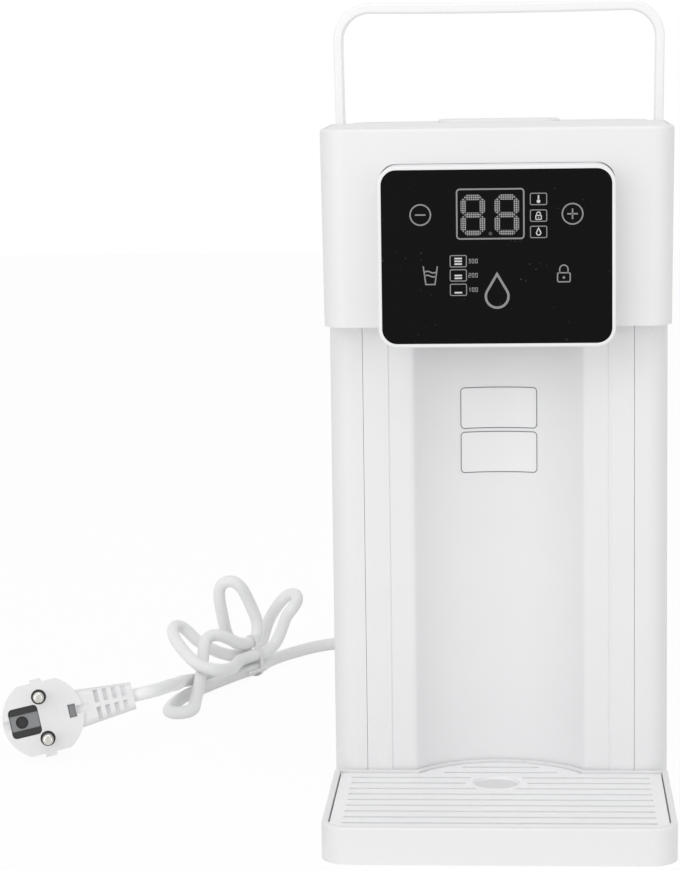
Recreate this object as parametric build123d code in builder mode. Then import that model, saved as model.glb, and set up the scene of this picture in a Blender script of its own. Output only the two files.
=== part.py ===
from build123d import *
import os
from math import cos, pi, radians, sin, sqrt, tan

os.makedirs("parts", exist_ok=True)

# Counter-top hot water dispenser: a drip tray in front, a column with a cup recess, a head with
# a control panel, and a lift-off tank behind. Millimetres, front at -Y, the table at Z = 0,
# origin under the middle of the footprint.

# Overall sizes
BODY_WIDTH = 139.6
TRAY_DEPTH = 89.0
COLUMN_DEPTH = 54.0
PLATFORM_DEPTH = 107.0
COLUMN_TOP = 203.4
HEAD_TOP = 283.7

# Clearances that several pieces share
OVERRUN = 2.0
SEAT_GAP = 0.3
RUNNING_FIT = 0.05
INNER_CORNER = 0.8

# Base plate and feet
FOOT_HEIGHT = 1.6
FOOT_RADIUS = 6.0
FOOT_INSET = 11.0
BASE_THICK = 2.4
TONGUE_WIDTH = 90.0
TONGUE_SETBACK = 10.0
TONGUE_CORNER = 8.0
SCREW_RADIUS = 1.5
SCREW_HEAD_RADIUS = 2.9
SCREW_HEAD_HEIGHT = 1.0
SCREW_BITE = 7.0
BOSS_RADIUS = 3.6
BOSS_INSET = 14.0

# Drip tray and its grille
TRAY_HEIGHT = 15.2
TRAY_LIFT = 0.3
TRAY_CORNER = 11.0
TRAY_RIM = 2.5
TRAY_FLOOR = 1.8
TRAY_GAP = 0.5
TRAY_EDGE = 1.0
TRAY_LEDGE = 1.8
GRILLE_DROP = 1.0
GRILLE_THICK = 2.4
GRILLE_GAP = 0.6
SLOT_WIDTH = 2.0
SLOT_PITCH = 8.5
SLOT_FIRST = 10.6
SLOT_MARGIN = 7.8
BULGE_MARGIN = 12.5
DRAIN_RADIUS = 9.8
DRAIN_RING = 3.0
DRAIN_DEPTH = 1.2
DRAIN_SHIFT = (-1.6, 1.6)

# Column
COLUMN_CORNER = 10.0
COLUMN_BACK_CORNER = 3.0
SHELL_WALL = 2.2
SEAM_X = 55.9
SEAM_GAP = 0.16
REAR_FLANGE_X = 60.0
RIDGE_X = 45.8
RIDGE_STEP = 0.4
RIDGE_BEAD = 0.7
RIDGE_PROUD = 0.25
RECESS_RADIUS = 44.0
RECESS_DEPTH = 18.0
RECESS_EDGE = 3.0
SERVICE_WIDTH = 116.0
SERVICE_HEIGHT = 27.0

# Head
HEAD_OVERHANG = 16.0
HEAD_BOTTOM_WIDTH = 141.5
HEAD_TOP_WIDTH = 143.3
HEAD_CORNER = 10.0
HEAD_BACK_CORNER = 6.0
HEAD_WALL = 2.4
HEAD_EDGE = 1.4
HEAD_HATCH_WIDTH = 120.0
HEAD_HATCH_DEPTH = 44.0
COVER_THICK = 2.4
COVER_RIM = 2.0
COVER_GAP = 0.3
COVER_LEDGE = 2.4

# Control panel
PANEL_OUT = 17.0
PANEL_WIDTH = 94.7
PANEL_TOP = 269.3
PANEL_BOTTOM = 196.9
PANEL_CORNER = 7.6
PANEL_WALL = 2.2
PANEL_EDGE = 0.7
PANEL_GAP = 0.4
PANEL_FIT = 0.15
PANEL_HATCH_WIDTH = 76.0
PANEL_HATCH_HEIGHT = 52.0
GLASS_RIM = 1.5
GLASS_THICK = 2.0
GLASS_SINK = 0.2
GLASS_SEAT = 1.2
BOARD_THICK = 1.6
BOARD_GAP = 4.8
BOARD_MARGIN = 3.0
BOARD_POST_RADIUS = 2.8
BOARD_POST_INSET = 4.5
DISPLAY_WIDTH = 28.4
DISPLAY_HEIGHT = 20.8
LAMP_WIDTH = 7.0
LAMP_HEIGHT = 4.8
LAMP_DEPTH = 3.0
TOUCH_RADIUS = 4.0
TOUCH_HOLLOW = 3.2

# Spout
NOZZLE_SETBACK = 14.0
NOZZLE_RADIUS = 4.0
NOZZLE_BORE = 2.4
NOZZLE_FLANGE = 6.6
NOZZLE_FLANGE_THICK = 1.6
NOZZLE_HOLE = 4.8
NOZZLE_LENGTH = 17.0
NOZZLE_TIP_SINK = 0.4

# Tank platform and dock
PLATFORM_TOP = 36.0
PLATFORM_CORNER = 14.0
PLATFORM_WALL = 2.4
TANK_RIM = 1.6
TANK_RIM_HEIGHT = 3.0
DOCK_RADIUS = 17.0
DOCK_WALL = 2.0
DOCK_FLOOR_DROP = 11.6
DOCK_FLANGE = 4.0
DOCK_FLANGE_THICK = 2.0
DOCK_HOLE_GAP = 0.3
DOCK_POST_RADIUS = 3.5
DOCK_POST_HEIGHT = 5.6
NIPPLE_RADIUS = 2.8
NIPPLE_BORE = 1.8
NIPPLE_LENGTH = 7.0
DOCK_SPOUT_DROP = 6.4
DOCK_SPOUT_REACH = 25.0
SEAL_THICK = 1.5
SEAL_HEIGHT = 2.4

# Tank, lid and handle
TANK_SIDE_GAP = 0.4
TANK_FRONT_GAP = 2.4
TANK_TOP = 277.8
TANK_WALL = 2.2
TANK_FLOOR = 2.6
TANK_FRONT_CORNER = 5.0
TANK_FOOT_EDGE = 1.5
LID_THICK = 3.0
LID_INSET = 0.2
LID_EDGE = 1.0
LID_SKIRT_GAP = 0.8
LID_SKIRT_WALL = 1.8
LID_SKIRT_DROP = 9.0
LID_SEAL_RISE = 3.0
LID_SEAL_HEIGHT = 2.6
LID_SEAL_OUT = 0.4
LID_SEAL_SINK = 0.8
GRIP_WIDTH = 53.4
GRIP_DEPTH = 16.0
GRIP_HEIGHT = 2.9
GRIP_EDGE = 1.2
GRIP_AHEAD = 16.0
PIVOT_Z = 273.8
HANDLE_TOP = 335.3
HANDLE_LEG = 4.0
HANDLE_BAR = 4.7
HANDLE_DEPTH = 10.0
HANDLE_CORNER = 16.0
HANDLE_SIDE_GAP = 0.6
HANDLE_FLARE = 0.8
HANDLE_SAG = 0.8
HANDLE_EDGE = 1.2
EYE_RADIUS = 6.5
PIN_RADIUS = 3.0
PIN_FLANGE_RADIUS = 4.6
PIN_FLANGE_THICK = 0.4
PIN_HEAD_RADIUS = 4.4
PIN_HEAD_THICK = 1.0
PIN_END_PLAY = 0.4

# Tank valve
VALVE_SETBACK = 40.0
VALVE_RADIUS = 15.0
VALVE_DROP = 9.4
VALVE_NECK_RADIUS = 11.6
VALVE_NECK_GAP = 0.3
VALVE_NECK_RISE = 9.0
VALVE_BORE = 8.0
VALVE_SEAT_RADIUS = 5.5
VALVE_SEAT_THICK = 2.2
VALVE_CAP_THICK = 2.0
VALVE_WINDOW_WIDTH = 7.0
VALVE_WINDOW_HEIGHT = 5.0
VALVE_WINDOWS = 4
VALVE_LIFT = 3.0
PLUNGER_RADIUS = 7.0
PLUNGER_THICK = 1.8
PLUNGER_STEM = 2.4
PLUNGER_ROD = 1.8
ROD_HOLE_GAP = 0.3
VALVE_SEAL_THICK = 1.0
SPRING_RADIUS = 4.2
SPRING_WIRE = 0.5
SPRING_TURNS = 4
FILTER_RADIUS = 15.0
FILTER_WALL = 1.0
FILTER_HEIGHT = 16.0
FILTER_SLOTS = 10
FILTER_SLOT_WIDTH = 2.0
FILTER_SLOT_HEIGHT = 9.0

# Pump, in the right-hand side of the column
PUMP_X = 46.0
WORKS_SETBACK = 20.0
PUMP_MOUNT_RADIUS = 17.0
PUMP_MOUNT_HEIGHT = 5.0
PUMP_RADIUS = 15.0
PUMP_HEIGHT = 18.0
PUMP_WALL = 3.0
PUMP_CHAMBER_RADIUS = 11.5
MOTOR_RADIUS = 13.0
MOTOR_HEIGHT = 38.0
SHAFT_RADIUS = 1.5
SHAFT_BITE = 12.0
ROTOR_RADIUS = 10.0
ROTOR_DISC = 2.0
ROTOR_HUB_RADIUS = 3.0
ROTOR_END_GAP = 0.5
ROTOR_BLADES = 6
ROTOR_BLADE_THICK = 1.4

# Heater, in the left-hand side of the column
HEATER_X = 46.0
HEATER_RADIUS = 15.0
HEATER_WALL = 1.2
HEATER_BOTTOM = 62.0
HEATER_LENGTH = 106.0
HEATER_CAP_HEIGHT = 9.0
HEATER_CAP_LIP = 4.0
HEATER_CAP_GAP = 0.1
CLAMP_WALL = 1.8
CLAMP_HEIGHT = 8.0
CLAMP_INSET = 20.0
CLAMP_FOOT = 16.0
CUTOUT_RADIUS = 6.0
CUTOUT_THICK = 5.0
CUTOUT_SADDLE = 12.0
CUTOUT_SADDLE_THICK = 3.0
CUTOUT_RISES = (38.0, 66.0)
SENSOR_RADIUS = 1.8
SENSOR_BITE = 6.0
SENSOR_LENGTH = 12.0

# Water tubes and wires inside
TUBE_RADIUS = 4.0
TUBE_BORE = 2.9
TUBE_BEND = 13.0
TUBE_TURN = 9.0
OUTLET_RISE = 20.0
WIRE_RADIUS = 2.6
WIRE_BEND = 9.0

# Power board on the rear panel
POWER_BOARD_WIDTH = 86.0
POWER_BOARD_HEIGHT = 76.0
POWER_BOARD_X = 15.0
POWER_BOARD_BOTTOM = 92.0
POWER_STANDOFF = 5.0
RELAY_SIZE = (20.0, 16.0, 15.0)
TRANSFORMER_SIZE = (26.0, 19.0, 22.0)
CAPACITOR_RADIUS = 6.0
CAPACITOR_LENGTH = 20.0
TERMINAL_SIZE = (22.0, 10.0, 12.0)

# Gland and lead at the back of the platform
GLAND_X = -35.0
GLAND_Z = 14.0
GLAND_NECK = 5.0
GLAND_INNER = 3.0
GLAND_FLANGE = 8.0
GLAND_FLANGE_THICK = 2.0
GLAND_FOOT = 6.5
GLAND_TIP = 4.4
GLAND_LENGTH = 26.0
LEAD_GAP = 1.0
LEAD_SETBACK = 10.0

# Cord: its free stretch behind the object, as runs back from the gland and drops below it
TINY = 1e-9
WIRE_SIDES = 6
CORD_SIDES = 8
CORD_DIAMETER = 6.1
CORD_STEP = 1.5
CORD_LOW = 3.2
CORD_PITCH = 6.8
BEND_SHARE = 0.45
CORD_SINK = ((20.0, 0.0), (49.0, 6.6), (74.0, 10.8))
CORD_TURN_RADIUS = 38.0
CORD_TURN_Y = 238.0
CORD_TURN_STEP = 36
CORD_APPROACH = 24.0

# Tie round the hank
TIE_PLACE = (-128.5, 203.0)
TIE_AXIS = (0.55, 0.835)
TIE_LIFT = 0.9
TIE_SLACK = 0.15
TIE_THICK = 0.7
TIE_WIDTH = 2.0
TIE_TAIL = 0.9
TIE_TAIL_LENGTH = 12.0
TOP_PASS_SHARE = 0.18
TOP_SINK_SHARE = 0.08

# Loops of the hank: the pass each leaves and returns by, the side of the tie, the tip, the way
# it points, the way across it, the radius of its tip, and knees on the way out and back
HANK_LOOPS = (
    {
        "leaves": "low_front", "returns": "top", "side": -1,
        "tip": (-158.1, 109.8, 4.1), "along": (-0.3, -1.03, 0.02), "across": (-0.92, -0.15, -0.03),
        "radius": 6.6, "before": (),
        "after": (
            ((-147.7, 157.9, 10.5), (0.13, 1.17, 0.11)),
            ((-149.3, 185.8, 19.2), (0.08, 0.91, 1.09)),
        ),
    },
    {
        "leaves": "top", "returns": "mid_back", "side": 1,
        "tip": (-140.5, 204.6, 49.5), "along": (-0.33, -0.19, 0.96), "across": (0.65, -0.19, -0.01),
        "radius": 6.7, "before": (),
        "after": (((-136.6, 209.5, 23.1), (0.74, 0.89, -0.27)),),
    },
    {
        "leaves": "mid_back", "returns": "mid_front", "side": -1,
        "tip": (-166.9, 199.4, 26.9), "along": (-1.07, 0.98, 0.5), "across": (-0.74, 0.81, 0.34),
        "radius": 8.3, "before": (((-146.4, 198.0, 16.4), (-0.81, 0.0, 0.3)),),
        "after": (((-147.2, 158.0, 17.8), (1.01, 0.42, -0.36)),),
    },
    {
        "leaves": "mid_front", "returns": "low_back", "side": 1,
        "tip": (-105.5, 221.1, 38.0), "along": (0.47, 0.02, 0.4), "across": (0.32, -1.03, -0.43),
        "radius": 6.6, "before": (), "after": (),
    },
)

# Plug and the stretch of cord that leads to it
PLUG_PLACE = (-205.6, 33.3)
PLUG_YAW = 9.95
PLUG_LEAN = 12.2
PLUG_TILT = 11.3
PLUG_RADIUS = 18.3
PLUG_THICK = 16.0
PLUG_BACK_EDGE = 4.0
PLUG_SETTLE = 0.75
PLUG_FLAT_SHARE = 0.87
PLUG_TAB_SHARE = 0.96
PLUG_TAB_WIDTH = 5.2
PLUG_TAB_DEPTH = 9.0
PLUG_GROOVE_HEIGHT = 3.7
PLUG_GROOVE_DEPTH = 2.0
PLUG_GROOVE_RUN = 3.0
PIN_SPACING = 19.0
PLUG_PIN_RADIUS = 2.4
PLUG_PIN_LENGTH = 19.0
PLUG_PIN_TIP = 1.1
PIN_RING = 3.4
PIN_SINK = 1.2
PIN_COLLAR = 0.8
PIN_DIMPLE = 0.6
EARTH_X = 8.4
EARTH_SIZE = 13.4
EARTH_CORNER = 2.0
EARTH_SINK = 5.0
EARTH_FLOOR = 1.6
EARTH_STRIP = 7.0
EARTH_STRIP_THICK = 1.4
EARTH_HOLE = 2.8
EARTH_HOLE_X = 9.7
EARTH_RING = 0.6
EARTH_RING_RISE = 0.4
EARTH_BRIM = 0.5
EARTH_GAP = 0.2
CLIP_X = 13.3
CLIP_WIDTH = 3.4
CLIP_HEIGHT = 6.0
RELIEF_START = 10.0
RELIEF_END = 41.6
RELIEF_DEPTH = 8.0
RELIEF_ROOT = (14.0, 18.5)
RELIEF_TIP = (11.0, 12.3)
RELIEF_CORNER = 3.0
RELIEF_SLOTS = 4
RELIEF_SLOT_FIRST = 25.1
RELIEF_SLOT_PITCH = 4.13
RELIEF_SLOT_WIDTH = 1.9
RELIEF_SLOT_SHARE = 0.36
RELIEF_ROW_SHARE = 0.25
RELIEF_SLOT_DEPTH = 4.4
PLUG_LEAD_STRAIGHT = 16.0
PLUG_LEAD_FIRST = 9.0
PLUG_LEAD_PLACES = (
    (-151.0, 172.0, 5.0),
    (-156.5, 149.0, 9.2),
    (-154.0, 124.0, 14.5),
    (-149.9, 100.3, 21.5),
    (-145.3, 72.0, 26.4),
    (-146.8, 63.6, 27.8),
    (-151.5, 56.5, 28.3),
)

# Where the pieces stand
overall_depth = TRAY_DEPTH + COLUMN_DEPTH + PLATFORM_DEPTH
front_y = -overall_depth / 2
column_front_y = front_y + TRAY_DEPTH
column_back_y = column_front_y + COLUMN_DEPTH
column_mid_y = (column_front_y + column_back_y) / 2
platform_back_y = column_back_y + PLATFORM_DEPTH
base_top = FOOT_HEIGHT + BASE_THICK
column_height = COLUMN_TOP - base_top
half_width = BODY_WIDTH / 2
recess_centre_y = column_front_y + RECESS_DEPTH - RECESS_RADIUS
head_front_y = column_front_y - HEAD_OVERHANG
panel_front_y = head_front_y - PANEL_OUT
panel_back_y = column_front_y - PANEL_GAP
panel_height = PANEL_TOP - PANEL_BOTTOM
panel_mid_z = (PANEL_TOP + PANEL_BOTTOM) / 2
nozzle_y = panel_front_y + NOZZLE_SETBACK
tank_half_width = half_width - TANK_RIM - TANK_SIDE_GAP
tank_front_y = column_back_y + TANK_FRONT_GAP
tank_back_y = platform_back_y - TANK_RIM - TANK_SIDE_GAP
tank_mid_y = (tank_front_y + tank_back_y) / 2
tank_depth = tank_back_y - tank_front_y
tank_bottom = PLATFORM_TOP + SEAT_GAP
tank_floor_top = tank_bottom + TANK_FLOOR
valve_y = tank_front_y + VALVE_SETBACK
works_y = column_back_y - WORKS_SETBACK
rear_face_y = column_back_y - SHELL_WALL


def save(piece, name):
    """Label a finished piece and write it as its own file."""
    piece.part.label = name
    export_step(piece.part, f"parts/{name}.step")


def up_from(z):
    """Horizontal plane at height z."""
    return Plane.XY.offset(z)


def facing_front(y):
    """Upright plane across the object at depth y, drawn as seen from the front."""
    return Plane.XZ.offset(-y)


def disc(x, y, z, radius, height, mode=Mode.ADD):
    """Upright cylinder that stands on height z."""
    with Locations((x, y, z)):
        Cylinder(radius, height, align=(Align.CENTER, Align.CENTER, Align.MIN), mode=mode)


def rod_x(x, y, z, radius, length, mode=Mode.ADD):
    """Level cylinder that runs from x towards the right."""
    with Locations((x, y, z)):
        Cylinder(
            radius, length, rotation=(0, 90, 0),
            align=(Align.CENTER, Align.CENTER, Align.MIN), mode=mode,
        )


def rod_y(x, y, z, radius, length, mode=Mode.ADD):
    """Level cylinder that runs from y towards the back."""
    with Locations((x, y, z)):
        Cylinder(
            radius, length, rotation=(-90, 0, 0),
            align=(Align.CENTER, Align.CENTER, Align.MIN), mode=mode,
        )


def block(low, high, mode=Mode.ADD):
    """Box between two opposite corners."""
    with Locations(tuple((a + b) / 2 for a, b in zip(low, high))):
        Box(*(b - a for a, b in zip(low, high)), mode=mode)


def rounded_plan(width, depth, mid_y, front_corner, back_corner):
    """Rectangle across the object whose front and back corners have their own radii."""
    with BuildSketch() as plan:
        with Locations((0, mid_y)):
            Rectangle(width, depth)
        fillet(plan.vertices().group_by(Axis.Y)[0], max(front_corner, INNER_CORNER))
        fillet(plan.vertices().group_by(Axis.Y)[-1], max(back_corner, INNER_CORNER))
    return plan.sketch


# Base plate: the footprint of column and platform, with a tongue under the drip tray
tongue_front_y = front_y + TONGUE_SETBACK
rear_depth = COLUMN_DEPTH + PLATFORM_DEPTH
boss_spots = [
    (side * (half_width - BOSS_INSET), y)
    for side in (-1, 1)
    for y in (column_back_y + BOSS_INSET, platform_back_y - BOSS_INSET)
]
foot_spots = [
    (side * x, y)
    for side in (-1, 1)
    for x, y in (
        (TONGUE_WIDTH / 2 - FOOT_INSET, tongue_front_y + FOOT_INSET),
        (half_width - BOSS_INSET, column_mid_y),
        (half_width - BOSS_INSET - FOOT_INSET, platform_back_y - FOOT_INSET),
    )
]
with BuildPart() as base_plate:
    with BuildSketch(up_from(FOOT_HEIGHT)):
        add(rounded_plan(
            BODY_WIDTH, rear_depth, column_front_y + rear_depth / 2, COLUMN_CORNER, PLATFORM_CORNER
        ))
    extrude(amount=BASE_THICK)
    with BuildSketch(up_from(FOOT_HEIGHT)) as tongue_plan:
        with Locations((0, (tongue_front_y + column_mid_y) / 2)):
            Rectangle(TONGUE_WIDTH, column_mid_y - tongue_front_y)
        fillet(tongue_plan.vertices().group_by(Axis.Y)[0], TONGUE_CORNER)
    extrude(amount=BASE_THICK)
    for x, y in boss_spots:
        disc(x, y, FOOT_HEIGHT, SCREW_RADIUS + RUNNING_FIT, BASE_THICK, Mode.SUBTRACT)
save(base_plate, "base_plate")

with BuildPart() as rubber_feet:
    for x, y in foot_spots:
        disc(x, y, 0, FOOT_RADIUS, FOOT_HEIGHT)
save(rubber_feet, "rubber_feet")

with BuildPart() as base_screws:
    for x, y in boss_spots:
        disc(x, y, FOOT_HEIGHT - SCREW_HEAD_HEIGHT, SCREW_HEAD_RADIUS, SCREW_HEAD_HEIGHT)
        disc(x, y, FOOT_HEIGHT, SCREW_RADIUS, BASE_THICK + SCREW_BITE)
save(base_screws, "base_screws")


# Drip tray: slides forward over the tongue, with a bulge that fills the foot of the cup recess
tray_length = TRAY_DEPTH - TRAY_GAP
tray_floor_bottom = base_top + SEAT_GAP
tray_floor_top = tray_floor_bottom + TRAY_FLOOR
grille_top = TRAY_HEIGHT - GRILLE_DROP
grille_bottom = grille_top - GRILLE_THICK
bulge_radius = RECESS_RADIUS - TRAY_GAP


def tray_plan(inset):
    """Outline of the tray, drawn in by an inset: a rectangle joined to the round bulge."""
    with BuildSketch() as plan:
        with Locations((0, front_y + tray_length / 2)):
            Rectangle(BODY_WIDTH - 2 * inset, tray_length - 2 * inset)
        fillet(plan.vertices().group_by(Axis.Y)[0], TRAY_CORNER - inset)
        with Locations((0, recess_centre_y)):
            Circle(bulge_radius - inset)
    return plan.sketch


with BuildPart() as drip_tray:
    with BuildSketch(up_from(TRAY_LIFT)):
        add(tray_plan(0))
    extrude(amount=TRAY_HEIGHT - TRAY_LIFT)
    fillet(drip_tray.edges().group_by(Axis.Z)[-1], TRAY_EDGE)
    with BuildSketch(up_from(tray_floor_top)):
        add(tray_plan(TRAY_RIM + TRAY_LEDGE))
    extrude(amount=TRAY_HEIGHT, mode=Mode.SUBTRACT)
    with BuildSketch(up_from(grille_bottom - SEAT_GAP)):
        add(tray_plan(TRAY_RIM))
    extrude(amount=TRAY_HEIGHT, mode=Mode.SUBTRACT)
    with BuildSketch(up_from(TRAY_LIFT)):
        add(tray_plan(TRAY_RIM))
        with Locations((0, (front_y + TRAY_CORNER + column_back_y) / 2)):
            Rectangle(BODY_WIDTH - 2 * TRAY_RIM, column_back_y - front_y - TRAY_CORNER)
    extrude(amount=tray_floor_bottom - TRAY_LIFT, mode=Mode.SUBTRACT)
save(drip_tray, "drip_tray")

# Grille: long slots across, shorter ones in the bulge, and a shallow dish under the nozzle
tray_back_y = front_y + tray_length
drain_x = DRAIN_SHIFT[0]
drain_y = nozzle_y + DRAIN_SHIFT[1]
slot_rows = int((recess_centre_y + bulge_radius - BULGE_MARGIN - front_y - SLOT_FIRST) / SLOT_PITCH) + 2
with BuildPart() as drip_grille:
    with BuildSketch(up_from(grille_bottom)):
        add(tray_plan(TRAY_RIM + GRILLE_GAP))
    extrude(amount=GRILLE_THICK)
    with BuildSketch(up_from(grille_bottom)):
        for row in range(slot_rows):
            y = front_y + SLOT_FIRST + row * SLOT_PITCH
            reach = half_width - SLOT_MARGIN
            if y > tray_back_y - SLOT_MARGIN:
                chord = sqrt(max(bulge_radius**2 - (y - recess_centre_y) ** 2, 0))
                reach = chord - BULGE_MARGIN
            if reach > SLOT_WIDTH:
                with Locations((0, y)):
                    SlotOverall(2 * reach, SLOT_WIDTH)
        with Locations((drain_x, drain_y)):
            Circle(DRAIN_RADIUS + DRAIN_RING, mode=Mode.SUBTRACT)
    extrude(amount=GRILLE_THICK, mode=Mode.SUBTRACT)
    disc(drain_x, drain_y, grille_top - DRAIN_DEPTH, DRAIN_RADIUS, DRAIN_DEPTH, Mode.SUBTRACT)
save(drip_grille, "drip_grille")


# Column: two side shells with rounded front corners, a front panel with the cup recess between
# the seams, and a flat rear panel towards the tank
with BuildPart() as right_side_shell:
    with BuildSketch(up_from(base_top)):
        add(rounded_plan(
            BODY_WIDTH, COLUMN_DEPTH, column_mid_y, COLUMN_CORNER, COLUMN_BACK_CORNER
        ))
        add(rounded_plan(
            BODY_WIDTH - 2 * SHELL_WALL,
            COLUMN_DEPTH - 2 * SHELL_WALL,
            column_mid_y,
            COLUMN_CORNER - SHELL_WALL,
            COLUMN_BACK_CORNER - SHELL_WALL,
        ), mode=Mode.SUBTRACT)
        with Locations((SEAM_X - half_width, column_front_y)):
            Rectangle(BODY_WIDTH, COLUMN_DEPTH, mode=Mode.SUBTRACT)
        with Locations((REAR_FLANGE_X - half_width, column_back_y)):
            Rectangle(BODY_WIDTH, COLUMN_DEPTH, mode=Mode.SUBTRACT)
    extrude(amount=column_height)
save(right_side_shell, "right_side_shell")

with BuildPart() as left_side_shell:
    mirror(right_side_shell.part, about=Plane.YZ)
save(left_side_shell, "left_side_shell")

panel_face_y = column_front_y + RIDGE_STEP
panel_reach = SEAM_X - SEAM_GAP
recess_half = sqrt(RECESS_RADIUS**2 - (panel_face_y - recess_centre_y) ** 2)
with BuildPart() as front_panel:
    with BuildSketch(up_from(base_top)) as panel_outline:
        with Locations((0, recess_centre_y)):
            Circle(RECESS_RADIUS + SHELL_WALL)
        with Locations((0, panel_face_y + SHELL_WALL / 2)):
            Rectangle(2 * (RIDGE_X + SHELL_WALL), SHELL_WALL)
        with Locations((0, recess_centre_y)):
            Circle(RECESS_RADIUS, mode=Mode.SUBTRACT)
        with Locations((0, panel_face_y - RECESS_RADIUS)):
            Rectangle(BODY_WIDTH, 2 * RECESS_RADIUS, mode=Mode.SUBTRACT)
        for side in (-1, 1):
            with Locations((side * (RIDGE_X + panel_reach) / 2, column_front_y + SHELL_WALL / 2)):
                Rectangle(panel_reach - RIDGE_X, SHELL_WALL)
        recess_corners = panel_outline.vertices().filter_by(
            lambda v: abs(v.Y - panel_face_y) < RUNNING_FIT and abs(abs(v.X) - recess_half) < RUNNING_FIT
        )
        fillet(recess_corners, RECESS_EDGE)
        with Locations(
            (-RIDGE_X, column_front_y + RIDGE_BEAD - RIDGE_PROUD),
            (RIDGE_X, column_front_y + RIDGE_BEAD - RIDGE_PROUD),
        ):
            Circle(RIDGE_BEAD)
    extrude(amount=column_height)
save(front_panel, "front_panel")

power_board_mid_z = POWER_BOARD_BOTTOM + POWER_BOARD_HEIGHT / 2
power_posts = [
    (
        POWER_BOARD_X + sx * (POWER_BOARD_WIDTH / 2 - BOARD_POST_INSET),
        power_board_mid_z + sz * (POWER_BOARD_HEIGHT / 2 - BOARD_POST_INSET),
    )
    for sx in (-1, 1)
    for sz in (-1, 1)
]
with BuildPart() as rear_panel:
    block(
        (SEAM_GAP - REAR_FLANGE_X, rear_face_y, base_top),
        (REAR_FLANGE_X - SEAM_GAP, column_back_y, COLUMN_TOP),
    )
    block(
        (-SERVICE_WIDTH / 2, rear_face_y, base_top),
        (SERVICE_WIDTH / 2, column_back_y, base_top + SERVICE_HEIGHT),
        Mode.SUBTRACT,
    )
    for x, z in power_posts:
        rod_y(x, rear_face_y - POWER_STANDOFF, z, BOARD_POST_RADIUS, POWER_STANDOFF)
        rod_y(
            x, rear_face_y - POWER_STANDOFF, z,
            SCREW_RADIUS + RUNNING_FIT, POWER_STANDOFF, Mode.SUBTRACT,
        )
save(rear_panel, "rear_panel")


# Tank platform: a shell on the base plate with a locating rim for the tank
platform_front_y = column_back_y + SEAT_GAP
platform_depth = platform_back_y - platform_front_y
platform_mid_y = (platform_front_y + platform_back_y) / 2
dock_hole = DOCK_RADIUS + DOCK_WALL + DOCK_HOLE_GAP


def platform_plan(inset):
    """Outline of the tank platform, drawn in by an inset."""
    return rounded_plan(
        BODY_WIDTH - 2 * inset,
        platform_depth - 2 * inset,
        platform_mid_y,
        COLUMN_BACK_CORNER,
        PLATFORM_CORNER - inset,
    )


with BuildPart() as tank_base:
    with BuildSketch(up_from(base_top)):
        add(platform_plan(0))
    extrude(amount=PLATFORM_TOP + TANK_RIM_HEIGHT - base_top)
    with BuildSketch(up_from(base_top)):
        add(platform_plan(PLATFORM_WALL))
    extrude(amount=PLATFORM_TOP - PLATFORM_WALL - base_top, mode=Mode.SUBTRACT)
    with BuildSketch(up_from(PLATFORM_TOP)):
        add(platform_plan(TANK_RIM))
    extrude(amount=TANK_RIM_HEIGHT, mode=Mode.SUBTRACT)
    block(
        (-half_width, platform_front_y, PLATFORM_TOP),
        (half_width, tank_front_y, PLATFORM_TOP + TANK_RIM_HEIGHT),
        Mode.SUBTRACT,
    )
    block(
        (-SERVICE_WIDTH / 2, platform_front_y, base_top),
        (SERVICE_WIDTH / 2, platform_front_y + PLATFORM_WALL, base_top + SERVICE_HEIGHT),
        Mode.SUBTRACT,
    )
    disc(0, valve_y, 0, dock_hole, PLATFORM_TOP, Mode.SUBTRACT)
    for x, y in boss_spots:
        disc(x, y, base_top, BOSS_RADIUS, PLATFORM_TOP - PLATFORM_WALL - base_top)
        disc(x, y, base_top, SCREW_RADIUS + RUNNING_FIT, SCREW_BITE, Mode.SUBTRACT)
    rod_y(
        GLAND_X, platform_back_y - PLATFORM_WALL - OVERRUN, GLAND_Z,
        GLAND_NECK + RUNNING_FIT, PLATFORM_WALL + 2 * OVERRUN, Mode.SUBTRACT,
    )
save(tank_base, "tank_base")

# Dock: a cup under the platform with a post that opens the tank valve, and a spout to the pump
dock_floor_top = PLATFORM_TOP - DOCK_FLOOR_DROP
dock_floor = dock_floor_top - DOCK_WALL
dock_flange_top = PLATFORM_TOP - PLATFORM_WALL
dock_spout_z = dock_floor - DOCK_SPOUT_DROP + NIPPLE_RADIUS
with BuildPart() as tank_dock:
    disc(0, valve_y, dock_floor, DOCK_RADIUS + DOCK_WALL, PLATFORM_TOP - dock_floor)
    disc(
        0, valve_y, dock_flange_top - DOCK_FLANGE_THICK,
        DOCK_RADIUS + DOCK_WALL + DOCK_FLANGE, DOCK_FLANGE_THICK,
    )
    disc(0, valve_y, dock_floor_top, DOCK_RADIUS, DOCK_FLOOR_DROP, Mode.SUBTRACT)
    disc(0, valve_y, dock_floor_top, DOCK_POST_RADIUS, DOCK_POST_HEIGHT)
    disc(0, valve_y, dock_spout_z - NIPPLE_RADIUS, DOCK_POST_RADIUS, DOCK_SPOUT_DROP)
    rod_x(0, valve_y, dock_spout_z, NIPPLE_RADIUS, DOCK_SPOUT_REACH)
    rod_x(0, valve_y, dock_spout_z, NIPPLE_BORE, DOCK_SPOUT_REACH, Mode.SUBTRACT)
    disc(
        0, valve_y, dock_spout_z, NIPPLE_BORE,
        dock_floor_top + DOCK_POST_HEIGHT - dock_spout_z, Mode.SUBTRACT,
    )
save(tank_dock, "tank_dock")

with BuildPart() as dock_seal:
    disc(0, valve_y, dock_floor_top, DOCK_RADIUS - RUNNING_FIT, SEAL_HEIGHT)
    disc(
        0, valve_y, dock_floor_top, DOCK_RADIUS - RUNNING_FIT - SEAL_THICK, SEAL_HEIGHT, Mode.SUBTRACT
    )
save(dock_seal, "dock_seal")


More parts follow.
